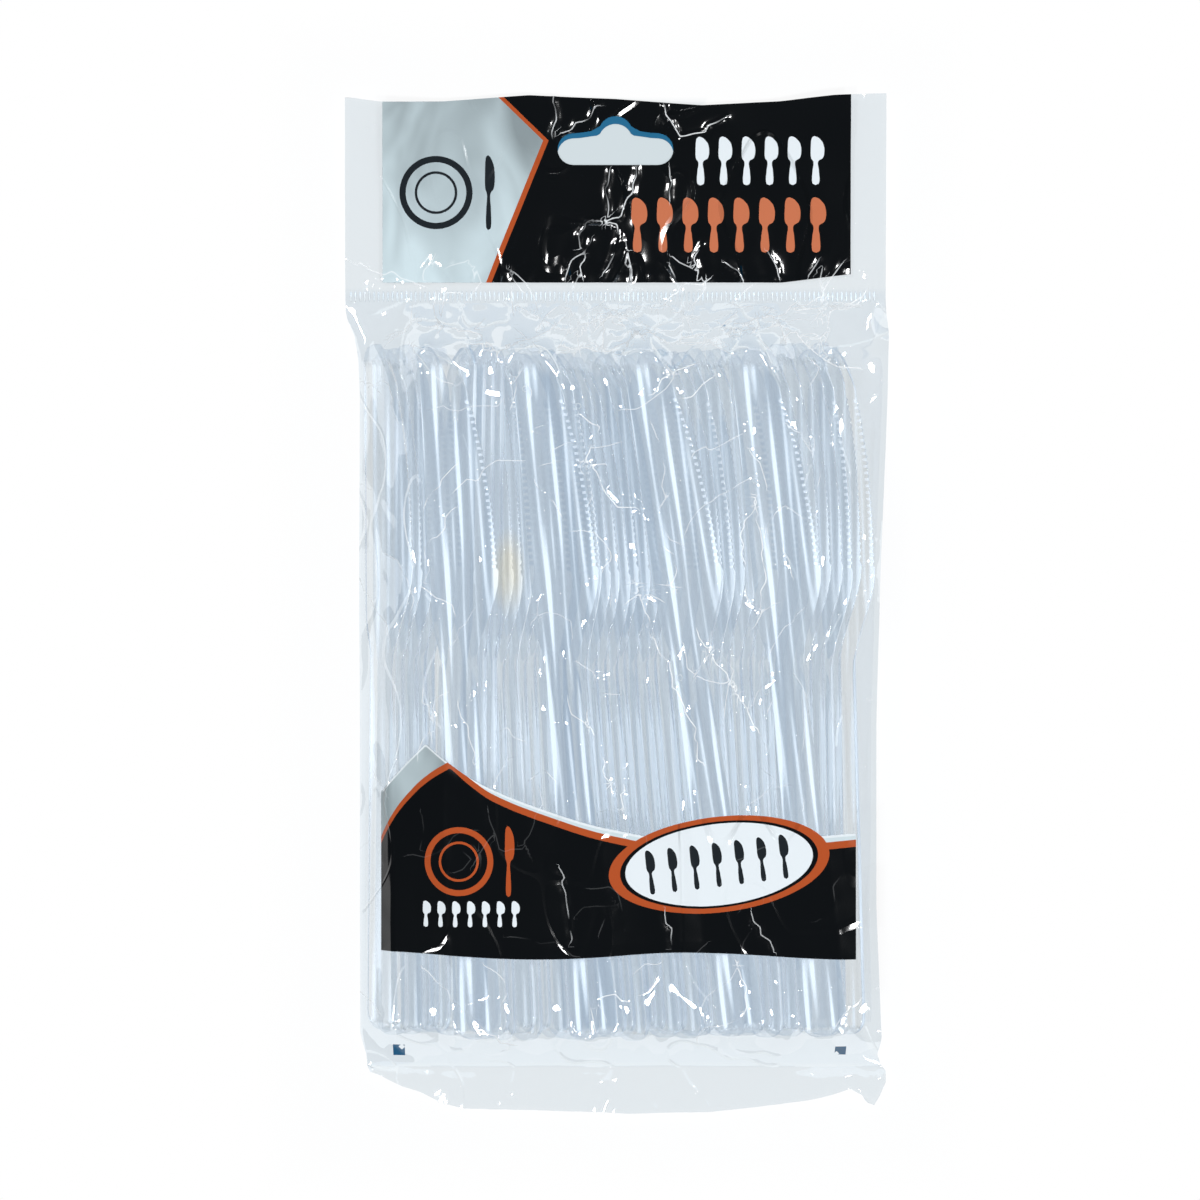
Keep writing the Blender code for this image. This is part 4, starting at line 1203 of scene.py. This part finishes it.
def pressed_ribs(f):
    """Painted highlights: patches of white on the seal's ribs, over clear film."""
    look = Look("pressed_ribs")
    painted_highlight_patches = (look.noise(90, 1.0, 0.5) - 0.42).step(0.25)
    white = look.principled((0.86, 0.91, 0.94), look.bump(look.noise(400, 1.0), 0.0001, 0.5), Roughness=0.15)
    seen = look.mixed(painted_highlight_patches * 0.55 + 0.08, look.transparent(f.film_tint), white)
    return look.finish(look.mixed(look.ray("Is Shadow Ray"), seen, look.transparent(f.film_tint)))


def vent_rim(f):
    """Film melted hazy round a vent."""
    look = Look("vent_rim")
    haze = look.noise(900, 1.0, 0.5)
    white = look.principled((0.80, 0.87, 0.92), look.bump(haze, 0.0001, 0.5), Roughness=0.1)
    return look.finish(look.mixed(haze * 0.4 + 0.3, look.transparent(f.film_tint), white))


# Crimped seal and vents, by Geometry Nodes


class Tree:
    """A Geometry Nodes tree under construction."""

    def __init__(self, name):
        self.group = bpy.data.node_groups.new(name, "GeometryNodeTree")
        self.group.interface.new_socket("Geometry", in_out="OUTPUT", socket_type="NodeSocketGeometry")
        self.out = self.group.nodes.new("NodeGroupOutput")
        self.inputs = self.group.nodes.new("NodeGroupInput")
        self.given = {}

    def ask(self, name, kind, default=None):
        socket = self.group.interface.new_socket(name, in_out="INPUT", socket_type=kind)
        if default is not None:
            socket.default_value = default
        self.given[name] = socket.identifier
        return self.inputs.outputs[socket.name]

    def node(self, kind, links=None, **values):
        made = self.group.nodes.new(kind)
        for name, value in values.items():
            setattr(made, name, value)
        for name, value in (links or {}).items():
            socket = made.inputs[name]
            if isinstance(value, bpy.types.NodeSocket):
                self.group.links.new(value, socket)
            else:
                socket.default_value = value
        return made

    def close(self, geometry, material):
        real = self.node("GeometryNodeRealizeInstances", {"Geometry": geometry})
        dressed = self.node("GeometryNodeSetMaterial", {"Geometry": real.outputs[0], "Material": material})
        self.group.links.new(dressed.outputs[0], self.out.inputs[0])

    def apply(self, name, mesh, **values):
        """Runs the tree on a mesh with these inputs, and returns the plain result."""
        host = piece_of(name, mesh)
        modifier = host.modifiers.new(name, "NODES")
        modifier.node_group = self.group
        for given, value in values.items():
            modifier[self.given[given.replace("_", " ")]] = value
        bpy.context.view_layer.update()
        done = bpy.data.meshes.new_from_object(host.evaluated_get(bpy.context.evaluated_depsgraph_get()))
        bpy.data.objects.remove(host)
        done.name = name
        return piece_of(name, done)


class CUTLERY_OT_crimp(bpy.types.Operator):
    """Presses the row of ribs into the seal under the header"""

    bl_idname = "cutlery.crimp"
    bl_label = "Crimped seal"

    def execute(self, context):
        f = context.scene.cutlery_film
        low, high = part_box("film_bag")
        tree = Tree("crimped_seal")
        tree.ask("Geometry", "NodeSocketGeometry")
        count = tree.ask("Count", "NodeSocketInt", 100)
        start = tree.ask("Start", "NodeSocketVector")
        pitch = tree.ask("Pitch", "NodeSocketVector")
        size = tree.ask("Rib Size", "NodeSocketVector")
        finish = tree.ask("Material", "NodeSocketMaterial")
        line = tree.node(
            "GeometryNodeMeshLine", {"Count": count, "Start Location": start, "Offset": pitch}, mode="OFFSET"
        )
        ball = tree.node("GeometryNodeMeshUVSphere", {"Segments": 8, "Rings": 6, "Radius": 0.5})
        ribs = tree.node(
            "GeometryNodeInstanceOnPoints", {"Points": line.outputs[0], "Instance": ball.outputs[0], "Scale": size}
        )
        tree.close(ribs.outputs[0], finish)
        seal = (f.top_seal + f.header_foot) / 2
        width = high.x - low.x - 3 * MM
        made = tree.apply(
            "crimp_ribs", bpy.data.meshes.new("seed"),
            Count=int(width / f.rib_pitch), Start=(low.x + 1.5 * MM, seal, f.lay_flat + 0.02 * MM),
            Pitch=(f.rib_pitch, 0.0, 0.0), Rib_Size=(0.55 * MM, f.header_foot - f.top_seal, 0.3 * MM),
            Material=pressed_ribs(f),
        )
        made.data.shade_smooth()
        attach(made, BODY)
        return {"FINISHED"}


class CUTLERY_OT_vents(bpy.types.Operator):
    """Melts the rim of each small vent hole in the film"""

    bl_idname = "cutlery.vents"
    bl_label = "Vent rims"

    def execute(self, context):
        f = context.scene.cutlery_film
        bag = bpy.data.objects["clear_film_bag"]
        spots = []
        for x, y in VENTS:
            found, spot, _, _ = bag.ray_cast((x * MM, y * MM, 0.1), (0, 0, -1))
            if not found:
                raise RuntimeError("a vent misses the film")
            spots.append(spot)
        tree = Tree("vent_rims")
        points = tree.ask("Geometry", "NodeSocketGeometry")
        radius = tree.ask("Radius", "NodeSocketFloat", 0.00075)
        thick = tree.ask("Rim", "NodeSocketFloat", 0.0001)
        finish = tree.ask("Material", "NodeSocketMaterial")
        ring_line = tree.node("GeometryNodeCurvePrimitiveCircle", {"Resolution": 16, "Radius": radius})
        section = tree.node("GeometryNodeCurvePrimitiveCircle", {"Resolution": 5, "Radius": thick})
        torus = tree.node(
            "GeometryNodeCurveToMesh", {"Curve": ring_line.outputs[0], "Profile Curve": section.outputs[0]}
        )
        rims = tree.node("GeometryNodeInstanceOnPoints", {"Points": points, "Instance": torus.outputs[0]})
        tree.close(rims.outputs[0], finish)
        seed = mesh_of("vent_places", spots, [])
        made = tree.apply("vent_rims", seed, Radius=f.vent_radius, Rim=0.12 * MM, Material=vent_rim(f))
        made.data.shade_smooth()
        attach(made, BODY)
        return {"FINISHED"}


# Stage

# Lamps: name, place and power
LAMPS = (
    ("head_left_lamp", (-0.40, 0.42, 0.78), 3.2), ("head_right_lamp", (0.42, 0.36, 0.80), 3.2),
    ("foot_left_lamp", (-0.36, -0.46, 0.78), 3.0), ("foot_right_lamp", (0.46, -0.40, 0.76), 3.0),
)
LAMP_SIZE = 0.12
# The room's light: straight, and as it is seen through plastic or film
ROOM = ((0.80, 0.90, 1.0), 0.07)
PALE_ROOM = ((0.78, 0.88, 1.0), 0.85)
FLOOR_REACH = 3.0
# How much of the floor's brightness is its own shading, and how far from the middle it has any, in millimetres
FLOOR_SHADING = 0.15
SHADED_X, SHADED_Y, SHADED_EDGE = 90.0, 154.0, 14.0
SENSOR = 36.0
# Light paths end after this many bounces
BOUNCES = {
    "max_bounces": 4, "transmission_bounces": 4, "glossy_bounces": 2, "diffuse_bounces": 0,
    "transparent_max_bounces": 12,
}


class CUTLERY_OT_stage(bpy.types.Operator):
    """Sets the floor, the lamps, the world and the camera"""

    bl_idname = "cutlery.stage"
    bl_label = "Stage"

    def execute(self, context):
        s = context.scene.cutlery_stage
        scene = context.scene
        reach = FLOOR_REACH
        corners = [(-reach, -reach, 0), (reach, -reach, 0), (reach, reach, 0), (-reach, reach, 0)]
        floor = piece_of("floor", mesh_of("floor", corners, [(0, 1, 2, 3)]))
        floor.location.z = -0.0002
        floor.data.materials.append(floor_look())
        scene.world = studio()
        for name, place, power in LAMPS:
            self.lamp(name, place, power)
        scene.camera = self.camera(s)
        scene.view_settings.view_transform = "Standard"
        for name, count in BOUNCES.items():
            setattr(scene.cycles, name, count)
        return {"FINISHED"}

    def lamp(self, name, place, power):
        """A square lamp that faces the middle of the floor."""
        light = bpy.data.lights.new(name, "AREA")
        light.shape = "RECTANGLE"
        light.size = light.size_y = LAMP_SIZE
        light.energy = power
        made = bpy.data.objects.new(name, light)
        bpy.context.scene.collection.objects.link(made)
        made.location = place
        away = Vector(place).normalized()
        side = Vector((0, 1, 0)).cross(away).normalized()
        turn = Matrix((side, away.cross(side), away)).transposed()
        made.rotation_euler = turn.to_euler()

    def camera(self, s):
        """Straight down, placed so that a pixel on the floor is as large as in the photo."""
        camera = bpy.data.cameras.new("camera")
        camera.sensor_width = camera.sensor_height = SENSOR
        camera.sensor_fit = "HORIZONTAL"
        camera.lens = SENSOR * s.height / (s.picture * s.pixel)
        camera.clip_start = 0.01
        eye = bpy.data.objects.new("camera", camera)
        bpy.context.scene.collection.objects.link(eye)
        middle = s.picture / 2
        eye.location = ((middle - s.centre_x) * s.pixel, (s.centre_y - middle) * s.pixel, s.height)
        return eye


def studio():
    """A dim room, paler for whoever looks at it through plastic or film."""
    world = bpy.data.worlds.new("studio")
    world.use_nodes = True
    tree = world.node_tree
    tree.nodes.clear()
    out = tree.nodes.new("ShaderNodeOutputWorld")
    path = tree.nodes.new("ShaderNodeLightPath")
    through = tree.nodes.new("ShaderNodeMixShader")
    within = Field(tree, path.outputs["Transmission Depth"]).max(Field(tree, path.outputs["Transparent Depth"]))
    tree.links.new(within.over_limit(0.5).socket, through.inputs[0])
    for place, (tint, strength) in enumerate((ROOM, PALE_ROOM), start=1):
        light = tree.nodes.new("ShaderNodeBackground")
        light.inputs["Color"].default_value = (*tint, 1)
        light.inputs["Strength"].default_value = strength
        tree.links.new(light.outputs[0], through.inputs[place])
    tree.links.new(through.outputs[0], out.inputs[0])
    return world


def floor_look():
    """White for whoever looks at it, straight or through the plastic, with a little of its own shading and a painted
    shadow under the hang slot.
    """
    look = Look("pale_floor")
    seen = look.ray("Is Camera Ray").max(look.ray("Is Transmission Ray")).max(look.ray("Is Glossy Ray"))
    seen = seen.max(look.ray("Transmission Depth").over_limit(0.5))
    x, y = look.place()
    far = ((x.abs() - SHADED_X).max(y.abs() - SHADED_Y)).step(SHADED_EDGE)
    plain = far.max(look.ray("Is Camera Ray").inverse())
    # Painted shadow: the floor's glow is greyer under the hang slot
    painted_shadow_under_slot = (-x.abs() + 22.0).min(-(y - 122.0).abs() + 12.0).step(6.0)
    glow = look.glowing(look.blend(painted_shadow_under_slot, (1, 1, 1), (0.60, 0.69, 0.73)))
    bright = seen * (plain * FLOOR_SHADING + (1 - FLOOR_SHADING))
    return look.finish(look.mixed(bright, look.matt((0.85, 0.86, 0.87)), glow))


class CUTLERY_PT_panel(bpy.types.Panel):
    """Lists what this add-on makes"""

    bl_label = "Cutlery pack"
    bl_idname = "CUTLERY_PT_panel"
    bl_space_type = "VIEW_3D"
    bl_region_type = "UI"
    bl_category = "Cutlery pack"

    def draw(self, context):
        for operator in OPERATORS:
            self.layout.operator(operator.bl_idname)
        for settings in ("cutlery_knife", "cutlery_film", "cutlery_stage"):
            group = getattr(context.scene, settings)
            box = self.layout.box()
            for name in group.__annotations__:
                box.prop(group, name)


OPERATORS = (CUTLERY_OT_knives, CUTLERY_OT_film, CUTLERY_OT_crimp, CUTLERY_OT_vents, CUTLERY_OT_stage)
CLASSES = (KnifeSettings, FilmSettings, StageSettings, *OPERATORS, CUTLERY_PT_panel)


def register():
    for made in CLASSES:
        bpy.utils.register_class(made)
    bpy.types.Scene.cutlery_knife = bpy.props.PointerProperty(type=KnifeSettings)
    bpy.types.Scene.cutlery_film = bpy.props.PointerProperty(type=FilmSettings)
    bpy.types.Scene.cutlery_stage = bpy.props.PointerProperty(type=StageSettings)


def unregister():
    del bpy.types.Scene.cutlery_knife
    del bpy.types.Scene.cutlery_film
    del bpy.types.Scene.cutlery_stage
    for made in reversed(CLASSES):
        bpy.utils.unregister_class(made)


def main():
    register()
    bpy.ops.cutlery.knives()
    bpy.ops.cutlery.film()
    bpy.ops.cutlery.crimp()
    bpy.ops.cutlery.vents()
    bpy.ops.cutlery.stage()
    bpy.context.view_layer.update()


if __name__ == "__main__":
    main()
